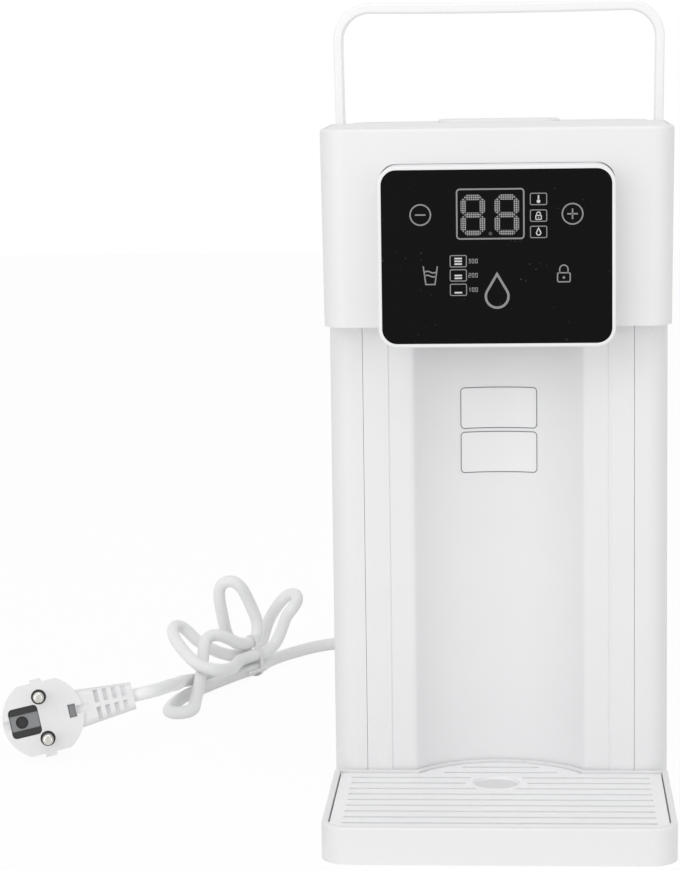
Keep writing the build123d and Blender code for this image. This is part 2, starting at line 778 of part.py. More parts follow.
# Head: a shell that widens a little upwards, notched for the panel housing, with an inset cover
head_depth = column_back_y - head_front_y
head_mid_y = (column_back_y + head_front_y) / 2
head_height = HEAD_TOP - COLUMN_TOP
cover_seat_z = HEAD_TOP - COVER_THICK


def head_plan(z, inset):
    """Outline of the head at height z, drawn in by an inset."""
    width = HEAD_BOTTOM_WIDTH + (HEAD_TOP_WIDTH - HEAD_BOTTOM_WIDTH) * (z - COLUMN_TOP) / head_height
    return rounded_plan(
        width - 2 * inset,
        head_depth - 2 * inset,
        head_mid_y,
        HEAD_CORNER - inset,
        HEAD_BACK_CORNER - inset,
    )


def panel_plan(inset):
    """Outline of the panel housing seen from the front, drawn in by an inset."""
    with BuildSketch() as plan:
        with Locations((0, panel_mid_z)):
            RectangleRounded(
                PANEL_WIDTH - 2 * inset, panel_height - 2 * inset, PANEL_CORNER - inset
            )
    return plan.sketch


with BuildPart() as head_shell:
    for z in (COLUMN_TOP, HEAD_TOP):
        with BuildSketch(up_from(z)):
            add(head_plan(z, 0))
    loft(ruled=True)
    fillet(head_shell.edges().group_by(Axis.Z)[-1], HEAD_EDGE)
    for z in (COLUMN_TOP + HEAD_WALL, cover_seat_z - COVER_LEDGE):
        with BuildSketch(up_from(z)):
            add(head_plan(z, HEAD_WALL))
    loft(ruled=True, mode=Mode.SUBTRACT)
    with BuildSketch(up_from(COLUMN_TOP + HEAD_WALL)):
        add(head_plan(COLUMN_TOP, COVER_RIM + COVER_LEDGE))
    extrude(amount=head_height, mode=Mode.SUBTRACT)
    with BuildSketch(up_from(cover_seat_z)):
        add(head_plan(HEAD_TOP, COVER_RIM))
    extrude(amount=head_height, mode=Mode.SUBTRACT)
    with BuildSketch(up_from(COLUMN_TOP)):
        with Locations((0, column_mid_y)):
            Rectangle(HEAD_HATCH_WIDTH, HEAD_HATCH_DEPTH)
    extrude(amount=HEAD_WALL, mode=Mode.SUBTRACT)
    with BuildSketch(facing_front(panel_back_y + PANEL_GAP)):
        with Locations((0, panel_mid_z)):
            RectangleRounded(
                PANEL_WIDTH + 2 * PANEL_FIT, panel_height + 2 * PANEL_FIT, PANEL_CORNER - PANEL_GAP
            )
    extrude(amount=head_depth, mode=Mode.SUBTRACT)
save(head_shell, "head_shell")

with BuildPart() as head_cover:
    with BuildSketch(up_from(cover_seat_z)):
        add(head_plan(HEAD_TOP, COVER_RIM + COVER_GAP))
    extrude(amount=COVER_THICK)
    with BuildSketch(up_from(cover_seat_z - COVER_LEDGE)):
        add(head_plan(COLUMN_TOP, COVER_RIM + COVER_LEDGE + COVER_GAP))
        add(head_plan(COLUMN_TOP, COVER_RIM + 2 * COVER_LEDGE + COVER_GAP), mode=Mode.SUBTRACT)
    extrude(amount=COVER_LEDGE)
save(head_cover, "head_cover")


# Panel housing: a box with rounded corners that carries the glass, the control board and the nozzle
glass_front_y = panel_front_y + GLASS_SINK
glass_back_y = glass_front_y + GLASS_THICK
board_front_y = glass_back_y + BOARD_GAP
board_back_y = board_front_y + BOARD_THICK
panel_floor_top = PANEL_BOTTOM + GLASS_RIM + GLASS_SEAT
board_half_width = PANEL_WIDTH / 2 - GLASS_RIM - GLASS_SEAT - BOARD_MARGIN
board_half_height = panel_height / 2 - GLASS_RIM - GLASS_SEAT - BOARD_MARGIN
panel_posts = [
    (sx * (board_half_width - BOARD_POST_INSET), panel_mid_z + sz * (board_half_height - BOARD_POST_INSET))
    for sx in (-1, 1)
    for sz in (-1, 1)
]
with BuildPart() as panel_housing:
    with BuildSketch(facing_front(panel_back_y)):
        add(panel_plan(0))
    extrude(amount=panel_back_y - panel_front_y)
    fillet(panel_housing.faces().sort_by(Axis.Y)[0].edges(), PANEL_EDGE)
    with BuildSketch(facing_front(panel_back_y - PANEL_WALL)):
        add(panel_plan(GLASS_RIM + GLASS_SEAT))
    extrude(amount=panel_back_y - panel_front_y, mode=Mode.SUBTRACT)
    with BuildSketch(facing_front(glass_back_y)):
        add(panel_plan(GLASS_RIM))
    extrude(amount=PANEL_OUT, mode=Mode.SUBTRACT)
    with BuildSketch(facing_front(panel_back_y)):
        with Locations((0, panel_mid_z)):
            Rectangle(PANEL_HATCH_WIDTH, PANEL_HATCH_HEIGHT)
    extrude(amount=PANEL_WALL, mode=Mode.SUBTRACT)
    for x, z in panel_posts:
        rod_y(x, board_back_y, z, BOARD_POST_RADIUS, panel_back_y - board_back_y)
        rod_y(x, board_back_y, z, SCREW_RADIUS + RUNNING_FIT, SCREW_BITE, Mode.SUBTRACT)
    disc(0, nozzle_y, PANEL_BOTTOM, NOZZLE_HOLE, GLASS_RIM + GLASS_SEAT, Mode.SUBTRACT)
save(panel_housing, "panel_housing")

with BuildPart() as control_glass:
    with BuildSketch(facing_front(glass_back_y)):
        add(panel_plan(GLASS_RIM + RUNNING_FIT))
    extrude(amount=GLASS_THICK)
save(control_glass, "control_glass")

with BuildPart() as control_board:
    block(
        (-board_half_width, board_front_y, panel_mid_z - board_half_height),
        (board_half_width, board_back_y, panel_mid_z + board_half_height),
    )
    for x, z in panel_posts:
        rod_y(x, board_front_y, z, SCREW_RADIUS + RUNNING_FIT, BOARD_THICK, Mode.SUBTRACT)
save(control_board, "control_board")

# Places on the panel as shares of its half width and half height from its middle
DISPLAY_SHARES = (-0.08, 0.52)
LAMP_SHARES = [(0.36, 0.67), (0.36, 0.49), (0.36, 0.31), (-0.33, 0.0), (-0.33, -0.16), (-0.33, -0.32)]
TOUCH_SHARES = [(-0.66, 0.49), (0.64, 0.5), (-0.56, -0.13), (0.0, -0.34), (0.57, -0.1)]


def on_panel(shares):
    """Place on the panel in x and z from shares of its half sizes."""
    return (shares[0] * PANEL_WIDTH / 2, panel_mid_z + shares[1] * panel_height / 2)


def panel_block(shares, width, height, depth):
    """Box that stands on the front of the control board."""
    x, z = on_panel(shares)
    block(
        (x - width / 2, board_front_y - depth, z - height / 2),
        (x + width / 2, board_front_y, z + height / 2),
    )


with BuildPart() as digit_display:
    panel_block(DISPLAY_SHARES, DISPLAY_WIDTH, DISPLAY_HEIGHT, BOARD_GAP - SEAT_GAP)
save(digit_display, "digit_display")

with BuildPart() as indicator_lamps:
    for shares in LAMP_SHARES:
        panel_block(shares, LAMP_WIDTH, LAMP_HEIGHT, LAMP_DEPTH)
save(indicator_lamps, "indicator_lamps")

with BuildPart() as touch_springs:
    for shares in TOUCH_SHARES:
        x, z = on_panel(shares)
        rod_y(x, glass_back_y, z, TOUCH_RADIUS, BOARD_GAP)
        rod_y(x, glass_back_y, z, TOUCH_HOLLOW, BOARD_GAP, Mode.SUBTRACT)
save(touch_springs, "touch_springs")

# Screws of both boards, heads towards the front
power_board_back_y = rear_face_y - POWER_STANDOFF
power_board_front_y = power_board_back_y - BOARD_THICK
with BuildPart() as board_screws:
    for spots, face_y in ((panel_posts, board_front_y), (power_posts, power_board_front_y)):
        for x, z in spots:
            rod_y(x, face_y - SCREW_HEAD_HEIGHT, z, SCREW_HEAD_RADIUS, SCREW_HEAD_HEIGHT)
            rod_y(x, face_y, z, SCREW_RADIUS, BOARD_THICK + POWER_STANDOFF)
save(board_screws, "board_screws")

# Nozzle: seated by its flange on the floor of the panel housing, tip just inside the underside
nozzle_bottom = PANEL_BOTTOM + NOZZLE_TIP_SINK
nozzle_top = nozzle_bottom + NOZZLE_LENGTH
with BuildPart() as spout_nozzle:
    disc(0, nozzle_y, nozzle_bottom, NOZZLE_RADIUS, NOZZLE_LENGTH)
    disc(0, nozzle_y, panel_floor_top, NOZZLE_FLANGE, NOZZLE_FLANGE_THICK)
    disc(0, nozzle_y, nozzle_bottom, NOZZLE_BORE, NOZZLE_LENGTH, Mode.SUBTRACT)
save(spout_nozzle, "spout_nozzle")


# Heater: a steel tube between two moulded caps, held to the rear panel by two clamps
heater_top = HEATER_BOTTOM + HEATER_LENGTH
cap_bottom = HEATER_BOTTOM - HEATER_CAP_HEIGHT
cap_top = heater_top + HEATER_CAP_HEIGHT
cap_mid_low = HEATER_BOTTOM - HEATER_CAP_HEIGHT / 2
cap_mid_high = heater_top + HEATER_CAP_HEIGHT / 2
lip_radius = HEATER_RADIUS - HEATER_WALL - HEATER_CAP_GAP
cap_bore = HEATER_RADIUS / 2
with BuildPart() as heater_tube:
    disc(-HEATER_X, works_y, HEATER_BOTTOM, HEATER_RADIUS, HEATER_LENGTH)
    disc(-HEATER_X, works_y, HEATER_BOTTOM, HEATER_RADIUS - HEATER_WALL, HEATER_LENGTH, Mode.SUBTRACT)
save(heater_tube, "heater_tube")

with BuildPart() as heater_lower_cap:
    disc(-HEATER_X, works_y, cap_bottom, HEATER_RADIUS, HEATER_CAP_HEIGHT)
    disc(-HEATER_X, works_y, HEATER_BOTTOM, lip_radius, HEATER_CAP_LIP)
    disc(-HEATER_X, works_y, cap_mid_low, cap_bore, HEATER_CAP_HEIGHT, Mode.SUBTRACT)
    rod_x(-HEATER_X, works_y, cap_mid_low, NIPPLE_RADIUS, HEATER_RADIUS + NIPPLE_LENGTH)
    rod_x(-HEATER_X, works_y, cap_mid_low, NIPPLE_BORE, HEATER_RADIUS + NIPPLE_LENGTH, Mode.SUBTRACT)
save(heater_lower_cap, "heater_lower_cap")

with BuildPart() as heater_upper_cap:
    disc(-HEATER_X, works_y, heater_top, HEATER_RADIUS, HEATER_CAP_HEIGHT)
    disc(-HEATER_X, works_y, heater_top - HEATER_CAP_LIP, lip_radius, HEATER_CAP_LIP)
    disc(-HEATER_X, works_y, heater_top - HEATER_CAP_LIP, cap_bore, HEATER_CAP_HEIGHT, Mode.SUBTRACT)
    disc(-HEATER_X, works_y, cap_top, NIPPLE_RADIUS, NIPPLE_LENGTH)
    disc(
        -HEATER_X, works_y, cap_mid_high,
        NIPPLE_BORE, cap_top + NIPPLE_LENGTH - cap_mid_high, Mode.SUBTRACT,
    )
    rod_x(
        HEATER_RADIUS - HEATER_X - SENSOR_BITE, works_y, cap_mid_high,
        SENSOR_RADIUS + RUNNING_FIT, SENSOR_BITE, Mode.SUBTRACT,
    )
save(heater_upper_cap, "heater_upper_cap")

with BuildPart() as temperature_sensor:
    rod_x(HEATER_RADIUS - HEATER_X - SENSOR_BITE, works_y, cap_mid_high, SENSOR_RADIUS, SENSOR_LENGTH)
save(temperature_sensor, "temperature_sensor")

clamp_radius = HEATER_RADIUS + RUNNING_FIT
with BuildPart() as heater_clamps:
    for z in (HEATER_BOTTOM + CLAMP_INSET, heater_top - CLAMP_INSET - CLAMP_HEIGHT):
        disc(-HEATER_X, works_y, z, clamp_radius + CLAMP_WALL, CLAMP_HEIGHT)
        block(
            (-HEATER_X - CLAMP_FOOT / 2, works_y, z),
            (-HEATER_X + CLAMP_FOOT / 2, rear_face_y, z + CLAMP_HEIGHT),
        )
        disc(-HEATER_X, works_y, z, clamp_radius, CLAMP_HEIGHT, Mode.SUBTRACT)
save(heater_clamps, "heater_clamps")

saddle_face_y = works_y - HEATER_RADIUS - CUTOUT_SADDLE_THICK
with BuildPart() as thermal_cutouts:
    for rise in CUTOUT_RISES:
        z = HEATER_BOTTOM + rise
        block(
            (-HEATER_X - CUTOUT_SADDLE / 2, saddle_face_y, z - CUTOUT_SADDLE / 2),
            (-HEATER_X + CUTOUT_SADDLE / 2, works_y - HEATER_RADIUS / 2, z + CUTOUT_SADDLE / 2),
        )
        disc(-HEATER_X, works_y, z - CUTOUT_SADDLE / 2, clamp_radius, CUTOUT_SADDLE, Mode.SUBTRACT)
        rod_y(-HEATER_X, saddle_face_y - CUTOUT_THICK, z, CUTOUT_RADIUS, CUTOUT_THICK)
save(thermal_cutouts, "thermal_cutouts")


# Pump: a chamber with an impeller under an upright motor, on a rubber mount
pump_bottom = base_top + PUMP_MOUNT_HEIGHT
pump_top = pump_bottom + PUMP_HEIGHT
pump_mid_z = pump_bottom + PUMP_HEIGHT / 2
chamber_height = PUMP_HEIGHT - 2 * PUMP_WALL
with BuildPart() as pump_mount:
    disc(PUMP_X, works_y, base_top, PUMP_MOUNT_RADIUS, PUMP_MOUNT_HEIGHT)
    disc(PUMP_X, works_y, base_top, PUMP_CHAMBER_RADIUS, PUMP_MOUNT_HEIGHT, Mode.SUBTRACT)
save(pump_mount, "pump_mount")

with BuildPart() as pump_body:
    disc(PUMP_X, works_y, pump_bottom, PUMP_RADIUS, PUMP_HEIGHT)
    rod_y(PUMP_X, works_y, dock_spout_z, NIPPLE_RADIUS, PUMP_RADIUS + NIPPLE_LENGTH)
    rod_x(
        PUMP_X - PUMP_RADIUS - NIPPLE_LENGTH, works_y, pump_mid_z,
        NIPPLE_RADIUS, PUMP_RADIUS + NIPPLE_LENGTH,
    )
    rod_y(PUMP_X, works_y, dock_spout_z, NIPPLE_BORE, PUMP_RADIUS + NIPPLE_LENGTH, Mode.SUBTRACT)
    rod_x(
        PUMP_X - PUMP_RADIUS - NIPPLE_LENGTH, works_y, pump_mid_z,
        NIPPLE_BORE, PUMP_RADIUS + NIPPLE_LENGTH, Mode.SUBTRACT,
    )
    disc(PUMP_X, works_y, pump_bottom + PUMP_WALL, PUMP_CHAMBER_RADIUS, chamber_height, Mode.SUBTRACT)
    disc(PUMP_X, works_y, pump_top - PUMP_WALL, SHAFT_RADIUS + RUNNING_FIT, PUMP_WALL, Mode.SUBTRACT)
save(pump_body, "pump_body")

with BuildPart() as pump_motor:
    disc(PUMP_X, works_y, pump_top, MOTOR_RADIUS, MOTOR_HEIGHT)
    disc(PUMP_X, works_y, pump_top, SHAFT_RADIUS + RUNNING_FIT, SHAFT_BITE + SEAT_GAP, Mode.SUBTRACT)
save(pump_motor, "pump_motor")

rotor_bottom = pump_bottom + PUMP_WALL + ROTOR_END_GAP
rotor_height = chamber_height - 2 * ROTOR_END_GAP
rotor_blade_reach = ROTOR_RADIUS - ROTOR_BLADE_THICK
with BuildPart() as pump_rotor:
    disc(PUMP_X, works_y, rotor_bottom, ROTOR_RADIUS, ROTOR_DISC)
    with BuildSketch(up_from(rotor_bottom)):
        with Locations((PUMP_X, works_y)):
            Circle(ROTOR_HUB_RADIUS)
            with PolarLocations(rotor_blade_reach / 2, ROTOR_BLADES):
                Rectangle(rotor_blade_reach, ROTOR_BLADE_THICK)
    extrude(amount=rotor_height)
    disc(PUMP_X, works_y, rotor_bottom, SHAFT_RADIUS, pump_top + SHAFT_BITE - rotor_bottom)
save(pump_rotor, "pump_rotor")


# Water tubes: straight runs joined by bends, pushed on from face to face
def tube(points, bend, radius, bore):
    """Round tube along a route of straight runs with equal bends."""
    with BuildPart() as hose:
        with BuildLine() as route:
            FilletPolyline(*points, radius=bend)
        with BuildSketch(Plane(origin=route.line @ 0, z_dir=route.line % 0)):
            Circle(radius)
            if bore:
                Circle(bore, mode=Mode.SUBTRACT)
        sweep()
    return hose


dock_spout_end = DOCK_SPOUT_REACH
pump_inlet_end_y = works_y + PUMP_RADIUS + NIPPLE_LENGTH
inlet_tube = tube(
    [
        (dock_spout_end, valve_y, dock_spout_z),
        (PUMP_X, valve_y, dock_spout_z),
        (PUMP_X, pump_inlet_end_y, dock_spout_z),
    ],
    TUBE_BEND, TUBE_RADIUS, TUBE_BORE,
)
save(inlet_tube, "inlet_tube")

pump_outlet_x = PUMP_X - PUMP_RADIUS - NIPPLE_LENGTH
heater_inlet_x = HEATER_RADIUS + NIPPLE_LENGTH - HEATER_X
pump_tube = tube(
    [
        (pump_outlet_x, works_y, pump_mid_z),
        (0, works_y, pump_mid_z),
        (0, works_y, cap_mid_low),
        (heater_inlet_x, works_y, cap_mid_low),
    ],
    TUBE_TURN, TUBE_RADIUS, TUBE_BORE,
)
save(pump_tube, "pump_tube")

outlet_z = nozzle_top + OUTLET_RISE
outlet_tube = tube(
    [
        (0, nozzle_y, nozzle_top),
        (0, nozzle_y, outlet_z),
        (0, works_y, outlet_z),
        (-HEATER_X, works_y, outlet_z),
        (-HEATER_X, works_y, cap_top + NIPPLE_LENGTH),
    ],
    TUBE_BEND, TUBE_RADIUS, TUBE_BORE,
)
save(outlet_tube, "outlet_tube")


# Power board with its larger parts, on posts of the rear panel
with BuildPart() as power_board:
    block(
        (POWER_BOARD_X - POWER_BOARD_WIDTH / 2, power_board_front_y, POWER_BOARD_BOTTOM),
        (
            POWER_BOARD_X + POWER_BOARD_WIDTH / 2,
            power_board_back_y,
            POWER_BOARD_BOTTOM + POWER_BOARD_HEIGHT,
        ),
    )
    for x, z in power_posts:
        rod_y(x, power_board_front_y, z, SCREW_RADIUS + RUNNING_FIT, BOARD_THICK, Mode.SUBTRACT)
save(power_board, "power_board")

# Places on the power board as shares of its half width and half height from its middle
RELAY_SHARES = (-0.5, 0.45)
TRANSFORMER_SHARES = (0.35, 0.4)
CAPACITOR_SHARES = (0.6, -0.35)
TERMINAL_SHARE = -0.1


def on_power_board(shares):
    """Place on the power board in x and z from shares of its half sizes."""
    return (
        POWER_BOARD_X + shares[0] * POWER_BOARD_WIDTH / 2,
        power_board_mid_z + shares[1] * POWER_BOARD_HEIGHT / 2,
    )


def board_part(shares, size):
    """Box that stands on the front of the power board; size is width, depth, height."""
    x, z = on_power_board(shares)
    block(
        (x - size[0] / 2, power_board_front_y - size[1], z - size[2] / 2),
        (x + size[0] / 2, power_board_front_y, z + size[2] / 2),
    )


with BuildPart() as board_relay:
    board_part(RELAY_SHARES, RELAY_SIZE)
save(board_relay, "board_relay")

with BuildPart() as board_transformer:
    board_part(TRANSFORMER_SHARES, TRANSFORMER_SIZE)
save(board_transformer, "board_transformer")

with BuildPart() as board_capacitor:
    capacitor_x, capacitor_z = on_power_board(CAPACITOR_SHARES)
    rod_y(
        capacitor_x, power_board_front_y - CAPACITOR_LENGTH, capacitor_z,
        CAPACITOR_RADIUS, CAPACITOR_LENGTH,
    )
save(board_capacitor, "board_capacitor")

terminal_x = POWER_BOARD_X + TERMINAL_SHARE * POWER_BOARD_WIDTH
with BuildPart() as terminal_block:
    block(
        (terminal_x - TERMINAL_SIZE[0] / 2, power_board_front_y - TERMINAL_SIZE[1], POWER_BOARD_BOTTOM),
        (terminal_x + TERMINAL_SIZE[0] / 2, power_board_front_y, POWER_BOARD_BOTTOM + TERMINAL_SIZE[2]),
    )
save(terminal_block, "terminal_block")


# Tank: an open box with rounded upright edges that stands in the platform's rim
def tank_plan(inset):
    """Outline of the tank, drawn in by an inset."""
    return rounded_plan(
        2 * (tank_half_width - inset),
        tank_depth - 2 * inset,
        tank_mid_y,
        TANK_FRONT_CORNER - inset,
        PLATFORM_CORNER - TANK_RIM - inset,
    )


with BuildPart() as tank_body:
    with BuildSketch(up_from(tank_bottom)):
        add(tank_plan(0))
    extrude(amount=TANK_TOP - tank_bottom)
    fillet(tank_body.edges().group_by(Axis.Z)[0], TANK_FOOT_EDGE)
    with BuildSketch(up_from(tank_floor_top)):
        add(tank_plan(TANK_WALL))
    extrude(amount=TANK_TOP - tank_floor_top, mode=Mode.SUBTRACT)
    disc(0, valve_y, tank_bottom, VALVE_NECK_RADIUS + VALVE_NECK_GAP, TANK_FLOOR, Mode.SUBTRACT)
save(tank_body, "tank_body")

# Lid: a plate with a grip, a skirt that drops into the tank and a seal in the skirt's groove
lid_bottom = TANK_TOP + SEAT_GAP
lid_top = lid_bottom + LID_THICK
skirt_inset = TANK_WALL + LID_SKIRT_GAP
skirt_bottom = lid_bottom - LID_SKIRT_DROP
lid_seal_z = skirt_bottom + LID_SEAL_RISE
grip_y = tank_mid_y - GRIP_AHEAD
with BuildPart() as tank_lid:
    with BuildSketch(up_from(lid_bottom)):
        add(tank_plan(LID_INSET))
    extrude(amount=LID_THICK)
    fillet(tank_lid.edges().group_by(Axis.Z)[-1], LID_EDGE)
    with BuildSketch(up_from(skirt_bottom)):
        add(tank_plan(skirt_inset))
        add(tank_plan(skirt_inset + LID_SKIRT_WALL), mode=Mode.SUBTRACT)
    extrude(amount=LID_SKIRT_DROP)
    with BuildSketch(up_from(lid_seal_z)):
        add(tank_plan(skirt_inset))
        add(tank_plan(skirt_inset + LID_SEAL_SINK), mode=Mode.SUBTRACT)
    extrude(amount=LID_SEAL_HEIGHT, mode=Mode.SUBTRACT)
    with BuildSketch(up_from(lid_top)):
        with Locations((0, grip_y)):
            SlotOverall(GRIP_WIDTH, GRIP_DEPTH)
    extrude(amount=GRIP_HEIGHT)
    fillet(tank_lid.edges().group_by(Axis.Z)[-1], GRIP_EDGE)
save(tank_lid, "tank_lid")

with BuildPart() as lid_seal:
    with BuildSketch(up_from(lid_seal_z + RUNNING_FIT)):
        add(tank_plan(skirt_inset - LID_SEAL_OUT))
        add(tank_plan(skirt_inset + LID_SEAL_SINK - RUNNING_FIT), mode=Mode.SUBTRACT)
    extrude(amount=LID_SEAL_HEIGHT - 2 * RUNNING_FIT)
save(lid_seal, "lid_seal")

# Handle: a bail that stands up over the lid and folds back round the tank
leg_inner = tank_half_width + HANDLE_SIDE_GAP
leg_outer = leg_inner + HANDLE_LEG
bar_bottom = HANDLE_TOP - HANDLE_BAR
with BuildPart() as tank_handle:
    with BuildSketch(facing_front(tank_mid_y)) as bail:
        with BuildLine():
            Line((-leg_outer, PIVOT_Z), (-leg_outer - HANDLE_FLARE, HANDLE_TOP))
            ThreePointArc(
                (-leg_outer - HANDLE_FLARE, HANDLE_TOP),
                (0, HANDLE_TOP - HANDLE_SAG),
                (leg_outer + HANDLE_FLARE, HANDLE_TOP),
            )
            Line((leg_outer + HANDLE_FLARE, HANDLE_TOP), (leg_outer, PIVOT_Z))
            Line((leg_outer, PIVOT_Z), (leg_inner, PIVOT_Z))
            Line((leg_inner, PIVOT_Z), (leg_inner + HANDLE_FLARE, bar_bottom))
            ThreePointArc(
                (leg_inner + HANDLE_FLARE, bar_bottom),
                (0, bar_bottom - HANDLE_SAG),
                (-leg_inner - HANDLE_FLARE, bar_bottom),
            )
            Line((-leg_inner - HANDLE_FLARE, bar_bottom), (-leg_inner, PIVOT_Z))
            Line((-leg_inner, PIVOT_Z), (-leg_outer, PIVOT_Z))
        make_face()
        corners = bail.vertices().group_by(Axis.Y)
        fillet(corners[-1], HANDLE_CORNER)
        inner_corners = bail.vertices().filter_by(lambda v: abs(v.Y - bar_bottom) < HANDLE_SAG)
        fillet(inner_corners, HANDLE_CORNER - HANDLE_LEG)
    extrude(amount=HANDLE_DEPTH / 2, both=True)
    bail_faces = tank_handle.faces().sort_by(Axis.Y)
    bail_edges = bail_faces[0].edges() + bail_faces[-1].edges()
    fillet([e for e in bail_edges if e.center().Z > PIVOT_Z + RUNNING_FIT], HANDLE_EDGE)
    for side in (-1, 1):
        start = leg_inner if side > 0 else -leg_outer
        rod_x(start, tank_mid_y, PIVOT_Z, EYE_RADIUS, HANDLE_LEG)
        rod_x(
            start - OVERRUN, tank_mid_y, PIVOT_Z,
            PIN_RADIUS + RUNNING_FIT, HANDLE_LEG + 2 * OVERRUN, Mode.SUBTRACT,
        )
save(tank_handle, "tank_handle")

pin_length = HANDLE_SIDE_GAP + HANDLE_LEG + PIN_END_PLAY
with BuildPart() as handle_pins:
    for side in (-1, 1):
        wall = side * tank_half_width
        for reach, thick, radius in (
            (0, PIN_FLANGE_THICK, PIN_FLANGE_RADIUS),
            (0, pin_length, PIN_RADIUS),
            (pin_length, PIN_HEAD_THICK, PIN_HEAD_RADIUS),
        ):
            start = wall + reach if side > 0 else wall - reach - thick
            rod_x(start, tank_mid_y, PIVOT_Z, radius, thick)
save(handle_pins, "handle_pins")


# Tank valve: a housing through the tank floor, a sprung plunger that the dock post holds open
valve_bottom = tank_bottom - VALVE_DROP
neck_top = tank_floor_top + VALVE_NECK_RISE
seat_top = valve_bottom + VALVE_SEAT_THICK
window_z = tank_floor_top + VALVE_WINDOW_HEIGHT / 2
with BuildPart() as valve_housing:
    disc(0, valve_y, valve_bottom, VALVE_RADIUS, VALVE_DROP)
    disc(0, valve_y, tank_bottom, VALVE_NECK_RADIUS, neck_top + VALVE_CAP_THICK - tank_bottom)
    disc(0, valve_y, seat_top, VALVE_BORE, neck_top - seat_top, Mode.SUBTRACT)
    disc(0, valve_y, valve_bottom, VALVE_SEAT_RADIUS, VALVE_SEAT_THICK, Mode.SUBTRACT)
    disc(0, valve_y, neck_top, PLUNGER_ROD + ROD_HOLE_GAP, VALVE_CAP_THICK, Mode.SUBTRACT)
    with Locations((0, valve_y, window_z)):
        with PolarLocations(VALVE_NECK_RADIUS, VALVE_WINDOWS):
            Box(
                2 * VALVE_NECK_RADIUS - VALVE_BORE, VALVE_WINDOW_WIDTH, VALVE_WINDOW_HEIGHT,
                mode=Mode.SUBTRACT,
            )
save(valve_housing, "valve_housing")

stem_bottom = dock_floor_top + DOCK_POST_HEIGHT + SEAT_GAP
seal_bottom = seat_top + VALVE_LIFT + SEAT_GAP
disc_bottom = seal_bottom + VALVE_SEAL_THICK
disc_top = disc_bottom + PLUNGER_THICK
with BuildPart() as valve_plunger:
    disc(0, valve_y, stem_bottom, PLUNGER_STEM, disc_bottom - stem_bottom)
    disc(0, valve_y, disc_bottom, PLUNGER_RADIUS, PLUNGER_THICK)
    disc(0, valve_y, disc_top, PLUNGER_ROD, neck_top + VALVE_CAP_THICK - disc_top)
save(valve_plunger, "valve_plunger")

with BuildPart() as valve_seal:
    disc(0, valve_y, seal_bottom, PLUNGER_RADIUS, VALVE_SEAL_THICK)
    disc(0, valve_y, seal_bottom, PLUNGER_STEM + RUNNING_FIT, VALVE_SEAL_THICK, Mode.SUBTRACT)
save(valve_seal, "valve_seal")

with BuildPart() as tank_filter:
    disc(0, valve_y, tank_floor_top, FILTER_RADIUS, FILTER_HEIGHT)
    disc(
        0, valve_y, tank_floor_top,
        FILTER_RADIUS - FILTER_WALL, FILTER_HEIGHT - FILTER_WALL, Mode.SUBTRACT,
    )
    with Locations((0, valve_y, tank_floor_top + FILTER_HEIGHT / 2)):
        with PolarLocations(FILTER_RADIUS, FILTER_SLOTS):
            Box(4 * FILTER_WALL, FILTER_SLOT_WIDTH, FILTER_SLOT_HEIGHT, mode=Mode.SUBTRACT)
save(tank_filter, "tank_filter")


# Tangent arcs, which carry the spring of the tank valve and the hank of the cord
def biarc(start, start_way, end, end_way):
    """Meeting point and tangent of two arcs that join two points with given directions."""
    chord = end - start
    square = 2 * (start_way.dot(end_way) - 1)
    linear = -2 * chord.dot(start_way + end_way)
    if abs(square) < TINY:
        reach = chord.dot(chord) / -linear
    else:
        reach = (-linear - sqrt(linear**2 - 4 * square * chord.dot(chord))) / (2 * square)
    first = start + start_way * reach
    second = end - end_way * reach
    return (first + second) * 0.5, (second - first).normalized()


def arc_chain(knots):
    """Edges of tangent arcs through knots of place and direction, drawn in the current line."""
    for (start, start_way), (end, end_way) in zip(knots, knots[1:]):
        middle, middle_way = biarc(start, start_way, end, end_way)
        TangentArc(start, middle, tangent=start_way)
        TangentArc(middle, end, tangent=middle_way)


# Spring of the tank valve: one unbroken wire, each quarter turn made of two tangent arcs
spring_bottom = disc_top + SPRING_WIRE + RUNNING_FIT
spring_top = neck_top - SPRING_WIRE - RUNNING_FIT
spring_rise = (spring_top - spring_bottom) / SPRING_TURNS


def spring_knot(turn):
    """Place and direction on the coil after a number of turns."""
    angle = 2 * pi * turn
    place = Vector(
        SPRING_RADIUS * cos(angle),
        valve_y + SPRING_RADIUS * sin(angle),
        spring_bottom + spring_rise * turn,
    )
    way = Vector(
        -2 * pi * SPRING_RADIUS * sin(angle), 2 * pi * SPRING_RADIUS * cos(angle), spring_rise
    )
    return place, way.normalized()


with BuildPart() as valve_spring:
    with BuildLine() as coil:
        arc_chain([spring_knot(quarter / 4) for quarter in range(4 * SPRING_TURNS + 1)])
    with BuildSketch(Plane(origin=coil.line @ 0, z_dir=coil.line % 0)):
        RegularPolygon(SPRING_WIRE, WIRE_SIDES)
    sweep()
save(valve_spring, "valve_spring")


# Cord: gland in the back of the platform, lead inside, free stretch, tied hank and plug lead
def bend_radii(points):
    """Radius for each corner of a route: a share of the shorter run over the tangent of half the turn."""
    radii = []
    for before, corner, after in zip(points, points[1:], points[2:]):
        shorter = min((corner - before).length, (after - corner).length)
        turn = radians((corner - before).get_angle(after - corner))
        radii.append(BEND_SHARE * shorter / tan(turn / 2))
    return radii


def cord_tube(points, radius, name):
    """Cord along a route of straight runs joined by bends as large as the runs allow."""
    radii = bend_radii(points)
    print(name, "bend radii", [round(r, 1) for r in radii])
    with BuildPart() as cord:
        with BuildLine() as route:
            FilletPolyline(*points, radius=radii)
        with BuildSketch(Plane(origin=route.line @ 0, z_dir=route.line % 0)):
            Circle(radius)
        sweep()
    length = route.wire().length
    share = cord.part.volume / (pi * radius**2 * length)
    print(name, "length", round(length, 1), "volume share", round(share, 3))
    return cord


